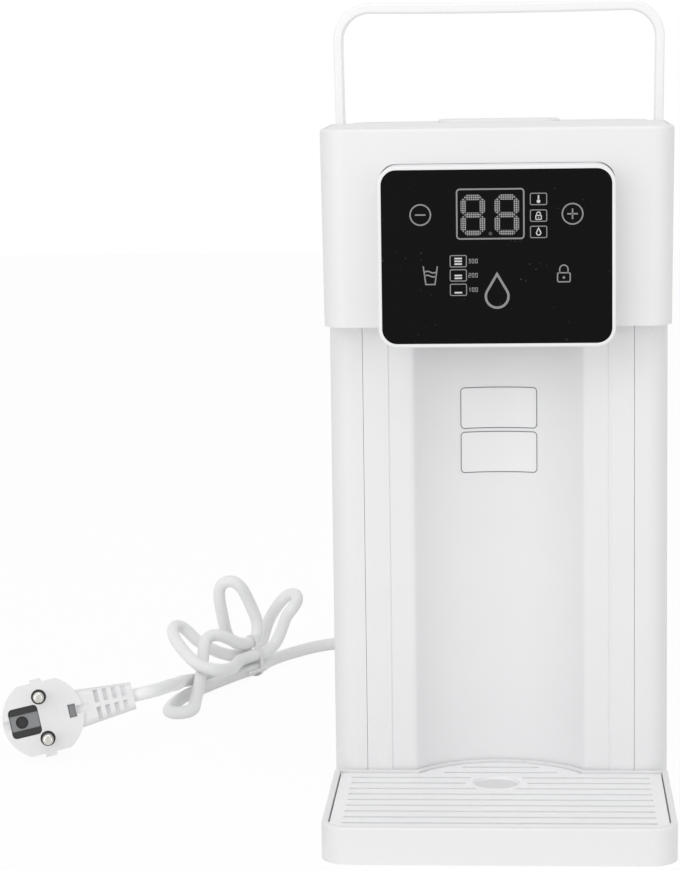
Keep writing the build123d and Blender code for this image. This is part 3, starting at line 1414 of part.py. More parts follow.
wall_inner_y = platform_back_y - PLATFORM_WALL
gland_end_y = platform_back_y + GLAND_LENGTH
with BuildPart() as cord_gland:
    rod_y(GLAND_X, wall_inner_y - GLAND_INNER, GLAND_Z, GLAND_NECK, GLAND_INNER + PLATFORM_WALL)
    rod_y(GLAND_X, platform_back_y, GLAND_Z, GLAND_FLANGE, GLAND_FLANGE_THICK)
    with Locations((GLAND_X, platform_back_y, GLAND_Z)):
        Cone(
            GLAND_FOOT, GLAND_TIP, GLAND_LENGTH, rotation=(-90, 0, 0),
            align=(Align.CENTER, Align.CENTER, Align.MIN),
        )
save(cord_gland, "cord_gland")

lead_y = power_board_front_y - WIRE_RADIUS - LEAD_GAP
lead_turn_y = column_back_y + LEAD_SETBACK
mains_lead = tube(
    [
        (GLAND_X, wall_inner_y - GLAND_INNER, GLAND_Z),
        (GLAND_X, lead_turn_y, GLAND_Z),
        (terminal_x, lead_turn_y, GLAND_Z),
        (terminal_x, lead_y, GLAND_Z),
        (terminal_x, lead_y, POWER_BOARD_BOTTOM),
    ],
    WIRE_BEND, WIRE_RADIUS, 0,
)
save(mains_lead, "mains_lead")

# The tie holds five passes of the cord; its axis points back and to the right
tie_axis = Vector(*TIE_AXIS, 0).normalized()
tie_side = Vector(tie_axis.Y, -tie_axis.X, 0)
tie_place = Vector(*TIE_PLACE, 0)
cord_radius = CORD_DIAMETER / 2
pass_half = CORD_PITCH / 2
pass_low = CORD_LOW + TIE_LIFT
PASSES = {
    "low_back": (-1, 0),
    "low_front": (1, 0),
    "mid_back": (-1, 1),
    "mid_front": (1, 1),
    "top": (TOP_PASS_SHARE, 2 - TOP_SINK_SHARE),
}


def tie_pass(name):
    """Middle of one pass of the cord in the plane of the tie."""
    across, layers = PASSES[name]
    return tie_place + tie_side * (across * pass_half) + Vector(0, 0, pass_low + layers * CORD_PITCH)


def hank_loop(loop):
    """Knots of one loop: out of the tie, a half turn at the tip, and back into the tie."""
    way = tie_axis * loop["side"]
    along = Vector(*loop["along"]).normalized()
    across = Vector(*loop["across"])
    across = (across - along * across.dot(along)).normalized()
    tip = Vector(*loop["tip"])
    radius = loop["radius"]
    out_side = tip - along * radius + across * radius
    back_side = tip - along * radius - across * radius
    knots = [(tie_pass(loop["leaves"]), way)]
    knots += [(Vector(*place), Vector(*heading).normalized()) for place, heading in loop["before"]]
    knots += [(out_side, along), (tip, -across), (back_side, -along)]
    knots += [(Vector(*place), Vector(*heading).normalized()) for place, heading in loop["after"]]
    return knots + [(tie_pass(loop["returns"]), -way)]


hank_knots = []
for loop in HANK_LOOPS:
    hank_knots += hank_loop(loop)[1 if hank_knots else 0 :]
with BuildPart() as cord_hank:
    with BuildLine() as hank_line:
        arc_chain(hank_knots)
    with BuildSketch(Plane(origin=hank_line.line @ 0, z_dir=hank_line.line % 0)):
        RegularPolygon(cord_radius, CORD_SIDES)
    sweep()
save(cord_hank, "cord_hank")

# Least distance of the hank to itself, from points along its line
hank_wire = hank_line.wire()
samples = int(hank_wire.length / CORD_STEP)
hank_points = [hank_wire @ (k / samples) for k in range(samples + 1)]
skip = int(pi * CORD_DIAMETER / CORD_STEP) + 1
least = min(
    (hank_points[i] - hank_points[j]).length
    for i in range(samples + 1)
    for j in range(i + skip, samples + 1)
)
print("hank length", round(hank_wire.length, 1), "least gap", round(least - CORD_DIAMETER, 2))

# Free stretch from the gland: it sinks to the table and turns round behind the object to the tie
turn_half = radians(CORD_TURN_STEP / 2)
turn_reach = CORD_TURN_RADIUS / cos(turn_half)
turn_x = GLAND_X - CORD_TURN_RADIUS
turn_points = [
    Vector(turn_x + turn_reach * cos(angle), CORD_TURN_Y + turn_reach * sin(angle), CORD_LOW)
    for angle in (radians(CORD_TURN_STEP * (k + 0.5)) for k in range(int(180 / CORD_TURN_STEP)))
]
cord_start = tie_pass("low_front")
cord_points = [Vector(GLAND_X, gland_end_y, GLAND_Z)]
cord_points += [Vector(GLAND_X, gland_end_y + run, GLAND_Z - drop) for run, drop in CORD_SINK]
cord_points += turn_points
cord_points += [cord_start + tie_axis * CORD_APPROACH, cord_start]
power_cord = cord_tube(cord_points, cord_radius, "power_cord")
save(power_cord, "power_cord")

# Plug: lies on its rim with the pins towards the front, turned, leant back and tilted as it lies
plug_lean = radians(PLUG_LEAN)
plug_level = Vector(cos(radians(PLUG_YAW)), sin(radians(PLUG_YAW)), 0)
plug_back = Vector(
    -sin(radians(PLUG_YAW)) * cos(plug_lean), cos(radians(PLUG_YAW)) * cos(plug_lean), -sin(plug_lean)
)
plug_up = plug_level.cross(plug_back)
plug_right = plug_level * cos(radians(PLUG_TILT)) + plug_up * sin(radians(PLUG_TILT))
plug_rest_z = (
    (PLUG_THICK - PLUG_BACK_EDGE) * sin(plug_lean)
    + (PLUG_RADIUS - PLUG_BACK_EDGE) * cos(plug_lean)
    + PLUG_BACK_EDGE
    - PLUG_SETTLE
)
plug_middle = Vector(*PLUG_PLACE, plug_rest_z)
relief_end = plug_middle + plug_right * RELIEF_END + plug_back * RELIEF_DEPTH
pin_places = ((0, PIN_SPACING / 2), (0, -PIN_SPACING / 2))


def plug_plane(depth):
    """Plane of the plug's face, moved back by a depth; its normal points to the front."""
    return Plane(origin=plug_middle + plug_back * depth, x_dir=plug_right, z_dir=-plug_back)


def relief_plane(reach):
    """Plane across the plug's strain relief at a reach from the plug's middle."""
    return Plane(
        origin=plug_middle + plug_right * reach + plug_back * RELIEF_DEPTH,
        x_dir=plug_back,
        z_dir=plug_right,
    )


with BuildPart() as plug_body:
    with BuildSketch(plug_plane(PLUG_THICK)):
        Circle(PLUG_RADIUS)
        Rectangle(2 * PLUG_RADIUS, 2 * PLUG_RADIUS * PLUG_FLAT_SHARE, mode=Mode.INTERSECT)
    extrude(amount=PLUG_THICK)
    fillet(plug_body.faces().sort_by(Axis(plug_middle, plug_back))[-1].edges(), PLUG_BACK_EDGE)
    with BuildSketch(plug_plane(PLUG_TAB_DEPTH)):
        Rectangle(PLUG_TAB_WIDTH, 2 * PLUG_RADIUS * PLUG_TAB_SHARE)
    extrude(amount=PLUG_TAB_DEPTH)
    with BuildSketch(relief_plane(RELIEF_START)):
        RectangleRounded(*RELIEF_ROOT, RELIEF_CORNER)
    with BuildSketch(relief_plane(RELIEF_END)):
        RectangleRounded(*RELIEF_TIP, RELIEF_CORNER)
    loft()
    with BuildSketch(plug_plane(PIN_SINK)):
        with Locations(*pin_places):
            Circle(PIN_RING)
    extrude(amount=PIN_SINK, mode=Mode.SUBTRACT)
    with BuildSketch(plug_plane(EARTH_SINK)):
        with Locations((-EARTH_X, 0)):
            RectangleRounded(EARTH_SIZE, EARTH_SIZE, EARTH_CORNER)
        with Locations((CLIP_X, 0)):
            Rectangle(CLIP_WIDTH, CLIP_HEIGHT)
    extrude(amount=EARTH_SINK, mode=Mode.SUBTRACT)
    with BuildSketch(plug_plane(PLUG_GROOVE_DEPTH)):
        with Locations((-PLUG_RADIUS, 0), (PLUG_RADIUS, 0)):
            Rectangle(2 * PLUG_GROOVE_RUN, PLUG_GROOVE_HEIGHT)
    extrude(amount=PLUG_GROOVE_DEPTH, mode=Mode.SUBTRACT)
    with BuildSketch(plug_plane(RELIEF_DEPTH - RELIEF_SLOT_DEPTH)):
        for k in range(RELIEF_SLOTS):
            reach = RELIEF_SLOT_FIRST + k * RELIEF_SLOT_PITCH
            along_share = (reach - RELIEF_START) / (RELIEF_END - RELIEF_START)
            height = RELIEF_ROOT[1] + (RELIEF_TIP[1] - RELIEF_ROOT[1]) * along_share
            with Locations((reach, height * RELIEF_ROW_SHARE), (reach, -height * RELIEF_ROW_SHARE)):
                Rectangle(RELIEF_SLOT_WIDTH, height * RELIEF_SLOT_SHARE)
    extrude(amount=RELIEF_DEPTH, mode=Mode.SUBTRACT)
save(plug_body, "plug_body")

# Insert: collars round the pins and a channel for the earth contact
with BuildPart() as plug_insert:
    with BuildSketch(plug_plane(PIN_SINK)):
        with Locations(*pin_places):
            Circle(PIN_RING - RUNNING_FIT)
            Circle(PLUG_PIN_RADIUS + RUNNING_FIT, mode=Mode.SUBTRACT)
    extrude(amount=PIN_COLLAR)
    with BuildSketch(plug_plane(EARTH_SINK)):
        with Locations((-EARTH_X, 0)):
            RectangleRounded(EARTH_SIZE - EARTH_GAP, EARTH_SIZE - EARTH_GAP, EARTH_CORNER)
    extrude(amount=EARTH_SINK - EARTH_BRIM)
    with BuildSketch(plug_plane(EARTH_SINK - EARTH_FLOOR)):
        with Locations((-EARTH_X, 0)):
            Rectangle(EARTH_SIZE, EARTH_STRIP + EARTH_GAP)
    extrude(amount=EARTH_SINK, mode=Mode.SUBTRACT)
save(plug_insert, "plug_insert")

with BuildPart() as plug_pins:
    with BuildSketch(plug_plane(PIN_SINK)):
        with Locations(*pin_places):
            Circle(PLUG_PIN_RADIUS)
    extrude(amount=PIN_SINK + PLUG_PIN_LENGTH)
    pin_tips = [
        e for e in plug_pins.edges()
        if (plug_middle - e.center()).dot(plug_back) > PLUG_PIN_LENGTH - RUNNING_FIT
    ]
    fillet(pin_tips, PLUG_PIN_TIP)
    with BuildSketch(plug_plane(PIN_DIMPLE - PLUG_PIN_LENGTH)):
        with Locations(*pin_places):
            Circle(PIN_DIMPLE)
    extrude(amount=PIN_DIMPLE, mode=Mode.SUBTRACT)
save(plug_pins, "plug_pins")

earth_strip_depth = EARTH_SINK - EARTH_FLOOR
with BuildPart() as plug_contacts:
    with BuildSketch(plug_plane(earth_strip_depth)):
        with Locations((-EARTH_X, 0)):
            Rectangle(EARTH_SIZE - 2 * EARTH_GAP, EARTH_STRIP)
        with Locations((-EARTH_HOLE_X, 0)):
            Circle(EARTH_HOLE, mode=Mode.SUBTRACT)
    extrude(amount=EARTH_STRIP_THICK)
    with BuildSketch(plug_plane(earth_strip_depth)):
        with Locations((-EARTH_HOLE_X, 0)):
            Circle(EARTH_HOLE + EARTH_RING)
            Circle(EARTH_HOLE, mode=Mode.SUBTRACT)
    extrude(amount=EARTH_STRIP_THICK + EARTH_RING_RISE)
    with BuildSketch(plug_plane(EARTH_SINK)):
        with Locations((CLIP_X, 0)):
            Rectangle(CLIP_WIDTH - EARTH_GAP, CLIP_HEIGHT - EARTH_GAP)
    extrude(amount=EARTH_SINK / 2)
save(plug_contacts, "plug_contacts")

# Plug lead: from the tie over the small loop to the strain relief
lead_start = tie_pass("low_back")
relief_run = plug_right * PLUG_LEAD_FIRST
lead_points = [lead_start, lead_start - tie_axis * PLUG_LEAD_STRAIGHT]
lead_points += [Vector(*place) for place in PLUG_LEAD_PLACES]
lead_points += [relief_end + relief_run, relief_end]
plug_lead = cord_tube(lead_points, cord_radius, "plug_lead")
save(plug_lead, "plug_lead")

# Tie: a snug band round the five passes, with a short twisted tail
tie_plane = Plane(origin=tie_place, x_dir=tie_side, z_dir=-tie_axis)


def tie_hull(grow):
    """Band outline: the hull of circles round the passes."""
    with BuildSketch() as hull:
        for name in PASSES:
            spot = tie_pass(name) - tie_place
            with Locations((spot.dot(tie_side), spot.Z)):
                Circle(cord_radius + grow)
        make_hull()
    return hull.sketch


with BuildPart() as cord_tie:
    with BuildSketch(tie_plane):
        add(tie_hull(TIE_SLACK + TIE_THICK))
        add(tie_hull(TIE_SLACK), mode=Mode.SUBTRACT)
    extrude(amount=TIE_WIDTH / 2, both=True)
    with BuildSketch(tie_plane):
        with Locations((pass_half + cord_radius + TIE_SLACK + TIE_THICK + TIE_TAIL / 2, pass_low)):
            Circle(TIE_TAIL)
    extrude(amount=TIE_TAIL_LENGTH)
save(cord_tie, "cord_tie")
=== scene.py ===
"""Looks of a counter-top hot water dispenser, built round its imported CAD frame.

Every length in the property groups is in metres and in the frame of the CAD part: X to the
right, Y to the back, Z up, the table at Z = 0.
"""

import bpy
import numpy as np
from mathutils import Matrix, Vector


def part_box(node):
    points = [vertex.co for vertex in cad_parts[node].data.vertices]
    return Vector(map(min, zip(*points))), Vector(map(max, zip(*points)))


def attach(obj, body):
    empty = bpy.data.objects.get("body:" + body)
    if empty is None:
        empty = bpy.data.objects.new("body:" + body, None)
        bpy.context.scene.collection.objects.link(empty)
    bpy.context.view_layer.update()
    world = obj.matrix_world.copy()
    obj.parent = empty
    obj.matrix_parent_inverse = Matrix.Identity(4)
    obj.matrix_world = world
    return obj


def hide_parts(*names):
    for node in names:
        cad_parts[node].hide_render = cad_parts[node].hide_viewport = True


bl_info = {
    "name": "Hot water dispenser looks",
    "version": (1, 0, 0),
    "blender": (4, 5, 0),
    "location": "View3D > Sidebar > Dispenser",
    "description": "Finishes, panel marks, mains cord and studio for a hot water dispenser",
    "category": "Object",
}

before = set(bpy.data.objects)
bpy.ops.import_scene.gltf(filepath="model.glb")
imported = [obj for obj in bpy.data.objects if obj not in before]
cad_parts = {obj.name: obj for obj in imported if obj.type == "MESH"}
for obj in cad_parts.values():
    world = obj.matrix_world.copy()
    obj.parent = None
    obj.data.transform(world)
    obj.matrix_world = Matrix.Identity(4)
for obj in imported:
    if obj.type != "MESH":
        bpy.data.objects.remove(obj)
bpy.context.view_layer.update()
MM = 0.001


def linear(hex_colour):
    """An sRGB hex colour as linear red, green, blue and an alpha of one."""
    srgb = np.array([int(hex_colour[k : k + 2], 16) for k in (1, 3, 5)]) / 255
    low, high = srgb / 12.92, ((srgb + 0.055) / 1.055) ** 2.4
    return (*np.where(srgb <= 0.04045, low, high).tolist(), 1.0)


def colour(name, hex_colour, description):
    """A colour property whose default is an sRGB hex value."""
    return bpy.props.FloatVectorProperty(
        name=name, description=description, subtype="COLOR", size=4,
        min=0.0, max=1.0, default=linear(hex_colour),
    )


def length(name, millimetres, description):
    """A length property whose default is given in millimetres."""
    return bpy.props.FloatProperty(
        name=name, description=description, default=millimetres * MM,
        subtype="DISTANCE", unit="LENGTH", precision=5,
    )


class DispenserColours(bpy.types.PropertyGroup):
    """Colours of the finishes."""

    shell: colour("Shell", "#E9E9EA", "Moulded white of the housing, head and tray")
    panel: colour("Panel", "#0A0A0B", "Back-painted black of the touch panel")
    speck: colour("Speck", "#5A5A5C", "Dust specks on the touch panel")
    ink: colour("Ink", "#8E8F90", "Printed grey of the panel marks")
    lit: colour("Lit mark", "#D4D5D6", "Pale pictograms in the indicator windows")
    segment: colour("Segment", "#9C9D9D", "Unlit display segments")
    bail: colour("Bail", "#F4F4F5", "Polished white of the bail handle")
    tank: colour("Tank", "#E6ECEF", "Milky body of the water tank")
    # Painted light: the grille's white is paler than the shell's, and stands for the light falling on
    # its top
    grille: colour("Grille", "#F5F5F6", "Paler moulded white of the drip grille")
    # Painted shade: the grey laid on the floor of the grille's dish, not a colour of the plastic
    dish: colour("Dish", "#DCDCDD", "Grey floor of the dish in the grille")
    sheath: colour("Sheath", "#F8F8F8", "White sheath of the mains cord")
    insert: colour("Insert", "#1B1B1C", "Black insulating inserts of the plug")


class DispenserPanel(bpy.types.PropertyGroup):
    """Sizes of what is printed on the touch panel."""

    proud: length("Proud", 0.06, "How far the print stands off the glass")
    sink: length("Sink", 0.04, "How far the print reaches into the glass")
    key_radius: length("Key radius", 4.05, "Radius of the two round key rings")
    key_line: length("Key line", 0.56, "Line width of the key rings and signs")
    frame_line: length("Frame line", 0.6, "Line width of the display frame")
    window_line: length("Window line", 0.36, "Line width of the small windows")
    icon_line: length("Icon line", 0.5, "Line width of the cup and padlock")
    drop_line: length("Drop line", 0.95, "Line width of the large drop")
    number_line: length("Number line", 0.26, "Line width of the small numbers")
    segment_width: length("Segment width", 2.1, "Width of a display segment")
    segment_gap: length("Segment gap", 0.3, "Gap between neighbouring segments")


class DispenserCord(bpy.types.PropertyGroup):
    """Sizes of the mains cord."""

    diameter: length("Diameter", 6.1, "Outer diameter of the sheath")
    long: length("Length", 980.0, "Length from the gland to the plug")


class DispenserStage(bpy.types.PropertyGroup):
    """Floor, light and camera."""

    floor: colour("Floor", "#F6F6F6", "Colour of the floor under the object")
    ambient: bpy.props.FloatProperty(
        name="Ambient", description="Strength of the even light from all round",
        default=0.64, min=0.0,
    )
    key: bpy.props.FloatProperty(
        name="Key", description="Power of the large lamp at the front left", default=8.4, unit="POWER"
    )
    fill: bpy.props.FloatProperty(
        name="Fill", description="Power of the lamp at the front right", default=3.2, unit="POWER"
    )
    top: bpy.props.FloatProperty(
        name="Top", description="Power of the lamp overhead", default=5.2, unit="POWER"
    )
    lens: bpy.props.FloatProperty(
        name="Lens", description="Focal length for a 36 mm long side",
        default=115.86, unit="CAMERA",
    )


GROUPS = {
    "dispenser_colours": DispenserColours,
    "dispenser_panel": DispenserPanel,
    "dispenser_cord": DispenserCord,
    "dispenser_stage": DispenserStage,
}


# Sockets of a colour Mix node by number, because its other types share their names
FACTOR, LOW, HIGH, MIXED = 0, 6, 7, 2


# Nodes and finishes
def put(tree, kind, sockets=None, **settings):
    """Adds one node, sets its properties, and links or sets its inputs by name or number."""
    made = tree.nodes.new(kind)
    for name, value in settings.items():
        setattr(made, name, value)
    for name, value in (sockets or {}).items():
        if isinstance(value, bpy.types.NodeSocket):
            tree.links.new(value, made.inputs[name])
        else:
            made.inputs[name].default_value = value
    return made


def blank(name):
    """A material with only an output and a Principled shader, and its object coordinates."""
    material = bpy.data.materials.new(name)
    material.use_nodes = True
    tree = material.node_tree
    tree.nodes.clear()
    shader = put(tree, "ShaderNodeBsdfPrincipled")
    put(tree, "ShaderNodeOutputMaterial", {"Surface": shader.outputs["BSDF"]})
    place = put(tree, "ShaderNodeTexCoord").outputs["Object"]
    return material, tree, shader, place


def darker(tone, share):
    """A linear colour multiplied by a share, with an alpha of one."""
    return (*[channel * share for channel in tone[:3]], 1.0)


def moulded(name, tone, rough, grain_mm, depth_mm, ior=1.53, cloud_mm=28.0, cloud=0.97, **values):
    """Plastic or rubber: a fine grain in the bump and the roughness, and a faint flow mottle.

    The grain is noise of grain_mm, the mottle noise of cloud_mm that darkens the tone to cloud.
    Each of the other values goes to the shader's socket of that name.
    """
    material, tree, shader, place = blank(name)
    flow = put(
        tree, "ShaderNodeTexNoise",
        {"Vector": place, "Scale": 1 / (cloud_mm * MM), "Detail": 3.0},
    )
    grain = put(
        tree, "ShaderNodeTexNoise",
        {"Vector": place, "Scale": 1 / (grain_mm * MM), "Detail": 2.0},
    )
    spread = put(
        tree, "ShaderNodeMapRange",
        {"Value": grain.outputs["Fac"], "To Min": rough - 0.05, "To Max": rough + 0.05},
    )
    bump = put(
        tree, "ShaderNodeBump",
        {"Height": grain.outputs["Fac"], "Strength": 0.35, "Distance": depth_mm * MM},
    )
    mottle = put(
        tree, "ShaderNodeMix",
        {FACTOR: flow.outputs["Fac"], LOW: darker(tone, cloud), HIGH: tone}, data_type="RGBA",
    )
    tree.links.new(mottle.outputs[MIXED], shader.inputs["Base Color"])
    tree.links.new(spread.outputs["Result"], shader.inputs["Roughness"])
    tree.links.new(bump.outputs["Normal"], shader.inputs["Normal"])
    shader.inputs["IOR"].default_value = ior
    for socket, value in values.items():
        shader.inputs[socket.replace("_", " ")].default_value = value
    return material


def paint_dish_shade(material, tone, middle, radius, inner_share=0.9):
    """Paints shade as a grey tone on the round floor of a dish, round an upright axis through a middle
    point.

    The painted shade is full out to inner_share of the radius and falls to nothing at the radius.
    """
    tree = material.node_tree
    base = tree.nodes["Principled BSDF"].inputs["Base Color"]
    place = tree.nodes["Texture Coordinate"].outputs["Object"]
    flat = put(
        tree, "ShaderNodeMapping",
        {"Vector": place, "Location": (-middle.x, -middle.y, 0.0), "Scale": (1.0, 1.0, 0.0)},
    )
    far = put(tree, "ShaderNodeVectorMath", {"Vector": flat.outputs["Vector"]}, operation="LENGTH")
    share = put(
        tree, "ShaderNodeMapRange",
        {
            "Value": far.outputs["Value"], "From Min": inner_share * radius, "From Max": radius,
            "To Min": 1.0, "To Max": 0.0,
        },
    )
    painted_shade = put(
        tree, "ShaderNodeMix",
        {FACTOR: share.outputs["Result"], LOW: base.links[0].from_socket, HIGH: tone},
        data_type="RGBA",
    )
    tree.links.new(painted_shade.outputs[MIXED], base)


def drawn_metal(name, tone, rough, stroke_mm, stretch, depth_mm=0.01):
    """Rolled, drawn or plated metal: fine strokes from noise drawn out along Z by stretch."""
    material, tree, shader, place = blank(name)
    along = put(tree, "ShaderNodeMapping", {"Vector": place, "Scale": (1.0, 1.0, 1 / stretch)})
    strokes = put(
        tree, "ShaderNodeTexNoise",
        {"Vector": along.outputs["Vector"], "Scale": 1 / (stroke_mm * MM), "Detail": 3.0},
    )
    spread = put(
        tree, "ShaderNodeMapRange",
        {"Value": strokes.outputs["Fac"], "To Min": rough - 0.07, "To Max": rough + 0.07},
    )
    bump = put(
        tree, "ShaderNodeBump",
        {"Height": strokes.outputs["Fac"], "Strength": 0.3, "Distance": depth_mm * MM},
    )
    sheen = put(
        tree, "ShaderNodeMix",
        {FACTOR: strokes.outputs["Fac"], LOW: darker(tone, 0.85), HIGH: tone}, data_type="RGBA",
    )
    tree.links.new(sheen.outputs[MIXED], shader.inputs["Base Color"])
    tree.links.new(spread.outputs["Result"], shader.inputs["Roughness"])
    tree.links.new(bump.outputs["Normal"], shader.inputs["Normal"])
    shader.inputs["Metallic"].default_value = 1.0
    return material


def panel_glass(colours, speck_mm=2.6, patch_mm=14.0, smear_mm=30.0):
    """Back-painted acrylic: deep black under a clear face, with dust specks and faint smears.

    Specks are the hearts of cells speck_mm apart, kept where noise of patch_mm is high, so they
    gather. Noise of smear_mm varies the roughness.
    """
    material, tree, shader, place = blank("back_painted_acrylic")
    cells = put(
        tree, "ShaderNodeTexVoronoi",
        {"Vector": place, "Scale": 1 / (speck_mm * MM), "Randomness": 1.0},
    )
    heart = put(
        tree, "ShaderNodeMapRange",
        {
            "Value": cells.outputs["Distance"], "From Min": 0.05, "From Max": 0.14,
            "To Min": 1.0, "To Max": 0.0,
        },
    )
    gathered = put(
        tree, "ShaderNodeTexNoise",
        {"Vector": place, "Scale": 1 / (patch_mm * MM), "Detail": 2.0},
    )
    gate = put(
        tree, "ShaderNodeMapRange",
        {"Value": gathered.outputs["Fac"], "From Min": 0.5, "From Max": 0.72},
    )
    dust = put(
        tree, "ShaderNodeMath", {0: heart.outputs["Result"], 1: gate.outputs["Result"]},
        operation="MULTIPLY",
    )
    tone = put(
        tree, "ShaderNodeMix",
        {FACTOR: dust.outputs["Value"], LOW: colours.panel, HIGH: colours.speck}, data_type="RGBA",
    )
    smear = put(
        tree, "ShaderNodeTexNoise",
        {"Vector": place, "Scale": 1 / (smear_mm * MM), "Detail": 4.0},
    )
    rough = put(
        tree, "ShaderNodeMapRange",
        {"Value": smear.outputs["Fac"], "To Min": 0.08, "To Max": 0.2},
    )
    tree.links.new(tone.outputs[MIXED], shader.inputs["Base Color"])
    tree.links.new(rough.outputs["Result"], shader.inputs["Roughness"])
    shader.inputs["IOR"].default_value = 1.49
    shader.inputs["Specular IOR Level"].default_value = 0.07
    return material


def printed(name, tone, cover_mm=0.8):
    """Screen-printed ink: a dense matt film whose coverage varies a little over cover_mm."""
    material, tree, shader, place = blank(name)
    cover = put(
        tree, "ShaderNodeTexNoise",
        {"Vector": place, "Scale": 1 / (cover_mm * MM), "Detail": 2.0},
    )
    film = put(
        tree, "ShaderNodeMix",
        {FACTOR: cover.outputs["Fac"], LOW: darker(tone, 0.86), HIGH: tone}, data_type="RGBA",
    )
    tree.links.new(film.outputs[MIXED], shader.inputs["Base Color"])
    shader.inputs["Roughness"].default_value = 0.5
    shader.inputs["Specular IOR Level"].default_value = 0.2
    return material


def hatched(name, tone, gap_tone, pitch_mm):
    """Unlit display segment: a diamond lattice of pale lines over dark holes, pitch_mm apart.

    The lattice is the product of two sine waves that cross at right angles in X and Z.
    """
    material, tree, shader, place = blank(name)
    parts = put(tree, "ShaderNodeSeparateXYZ", {"Vector": place})
    waves = []
    for way in ("ADD", "SUBTRACT"):
        slope = put(
            tree, "ShaderNodeMath", {0: parts.outputs["X"], 1: parts.outputs["Z"]}, operation=way
        )
        turn = put(
            tree, "ShaderNodeMath", {0: slope.outputs["Value"], 1: np.pi / (pitch_mm * MM)},
            operation="MULTIPLY",
        )
        wave = put(tree, "ShaderNodeMath", {0: turn.outputs["Value"]}, operation="SINE")
        waves.append(wave.outputs["Value"])
    cross = put(tree, "ShaderNodeMath", {0: waves[0], 1: waves[1]}, operation="MULTIPLY")
    line = put(
        tree, "ShaderNodeMapRange",
        {"Value": cross.outputs["Value"], "From Min": -0.25, "From Max": 0.35},
    )
    weave = put(
        tree, "ShaderNodeMix",
        {FACTOR: line.outputs["Result"], LOW: gap_tone, HIGH: tone}, data_type="RGBA",
    )
    tree.links.new(weave.outputs[MIXED], shader.inputs["Base Color"])
    shader.inputs["Roughness"].default_value = 0.45
    shader.inputs["Specular IOR Level"].default_value = 0.2
    return material


def solder_mask(name, tone, copper, cell_mm=5.0):
    """Circuit board: green mask, with paler tracks where cells cell_mm apart meet."""
    material, tree, shader, place = blank(name)
    cells = put(
        tree, "ShaderNodeTexVoronoi", {"Vector": place, "Scale": 1 / (cell_mm * MM)},
        feature="DISTANCE_TO_EDGE",
    )
    track = put(
        tree, "ShaderNodeMapRange",
        {
            "Value": cells.outputs["Distance"], "From Min": 0.05, "From Max": 0.1,
            "To Min": 1.0, "To Max": 0.0,
        },
    )
    mask = put(
        tree, "ShaderNodeMix",
        {FACTOR: track.outputs["Result"], LOW: tone, HIGH: copper}, data_type="RGBA",
    )
    tree.links.new(mask.outputs[MIXED], shader.inputs["Base Color"])
    shader.inputs["Roughness"].default_value = 0.35
    return material


def wear(material, *names):
    """Gives CAD nodes one material in place of the imported one."""
    for name in names:
        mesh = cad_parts[name].data
        mesh.materials.clear()
        mesh.materials.append(material)


# Surfaces
def lattice(rows, columns, close_rows, close_columns):
    """Quads of a grid of points, row by row, joined round where a direction is closed."""
    row = np.arange(rows if close_rows else rows - 1)[:, None]
    column = np.arange(columns if close_columns else columns - 1)[None, :]
    here, right = row * columns + column, row * columns + (column + 1) % columns
    above = ((row + 1) % rows) * columns
    return np.stack([here, right, above + (column + 1) % columns, above + column], -1).reshape(-1, 4)


def joined(parts):
    """Several pairs of points and faces as one pair."""
    points, faces, start = [], [], 0
    for part_points, part_faces in parts:
        points.append(part_points)
        faces += [tuple(int(k) + start for k in face) for face in part_faces]
        start += len(part_points)
    return np.concatenate(points), faces


def piece(name, points, faces, material, body, slot, smooth=False):
    """A mesh object in the CAD frame that rides on a body and wears the given material; the slot is not
    used.
    """
    mesh = bpy.data.meshes.new(name)
    mesh.from_pydata(points.tolist(), [], faces)
    mesh.validate()
    mesh.polygons.foreach_set("use_smooth", np.full(len(mesh.polygons), smooth))
    mesh.materials.append(material)
    made = bpy.data.objects.new(name, mesh)
    bpy.context.scene.collection.objects.link(made)
    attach(made, body)
    return made


def stroke(path, width, closed, least_cosine=0.35):
    """A flat bar carried along a path in a plane, as offsets across, along and off the plane.

    Each path point is moved half a width to either side along the mitred normal, the mean of its
    two runs' normals over the cosine of half the turn, once at the foot and once at the top. The
    cosine is held to least_cosine, so that the mitre of a sharp turn stays short.
    """
    runs = np.roll(path, -1, 0) - path
    runs /= np.maximum(np.linalg.norm(runs, axis=1), 1e-9)[:, None]
    before, after = np.roll(runs, 1, 0), runs.copy()
    if not closed:
        before[0], after[-1] = after[0], before[-1]
    mean = before + after
    mean /= np.linalg.norm(mean, axis=1)[:, None]
    reach = 1 / np.maximum((mean * after).sum(1), least_cosine)
    normal = np.stack([-mean[:, 1], mean[:, 0]], 1) * reach[:, None] * width / 2
    flat = np.stack([path + normal, path + normal, path - normal, path - normal], 1)
    height = np.broadcast_to([0.0, 1.0, 1.0, 0.0], flat.shape[:2])
    points = np.concatenate([flat, height[..., None]], 2).reshape(-1, 3)
    faces = lattice(len(path), 4, closed, True)
    ends = [] if closed else [(3, 2, 1, 0), tuple(range(4 * len(path) - 4, 4 * len(path)))]
    return points, [*faces.tolist(), *ends]


def patch(outline):
    """A filled shape with a raised top: its outline at the foot, at the top, and its middle."""
    count = len(outline)
    middle = outline.mean(0, keepdims=True)
    flat = np.concatenate([outline, outline, middle])
    height = np.concatenate([np.zeros(count), np.ones(count + 1)])[:, None]
    step = np.arange(count)
    following = (step + 1) % count
    wall = np.stack([step, following, following + count, step + count], 1).tolist()
    top = np.stack([step + count, following + count, np.full(count, 2 * count)], 1).tolist()
    floor = [step[::-1].tolist()]
    return np.concatenate([flat, height], 1), [*wall, *top, *floor]


def ring(centre, radius, count=64):
    """Points round a circle: the centre plus radius times the cosine and sine of an even turn."""
    turn = np.linspace(0, 2 * np.pi, count, endpoint=False)
    return np.array(centre) + radius * np.stack([np.cos(turn), np.sin(turn)], 1)


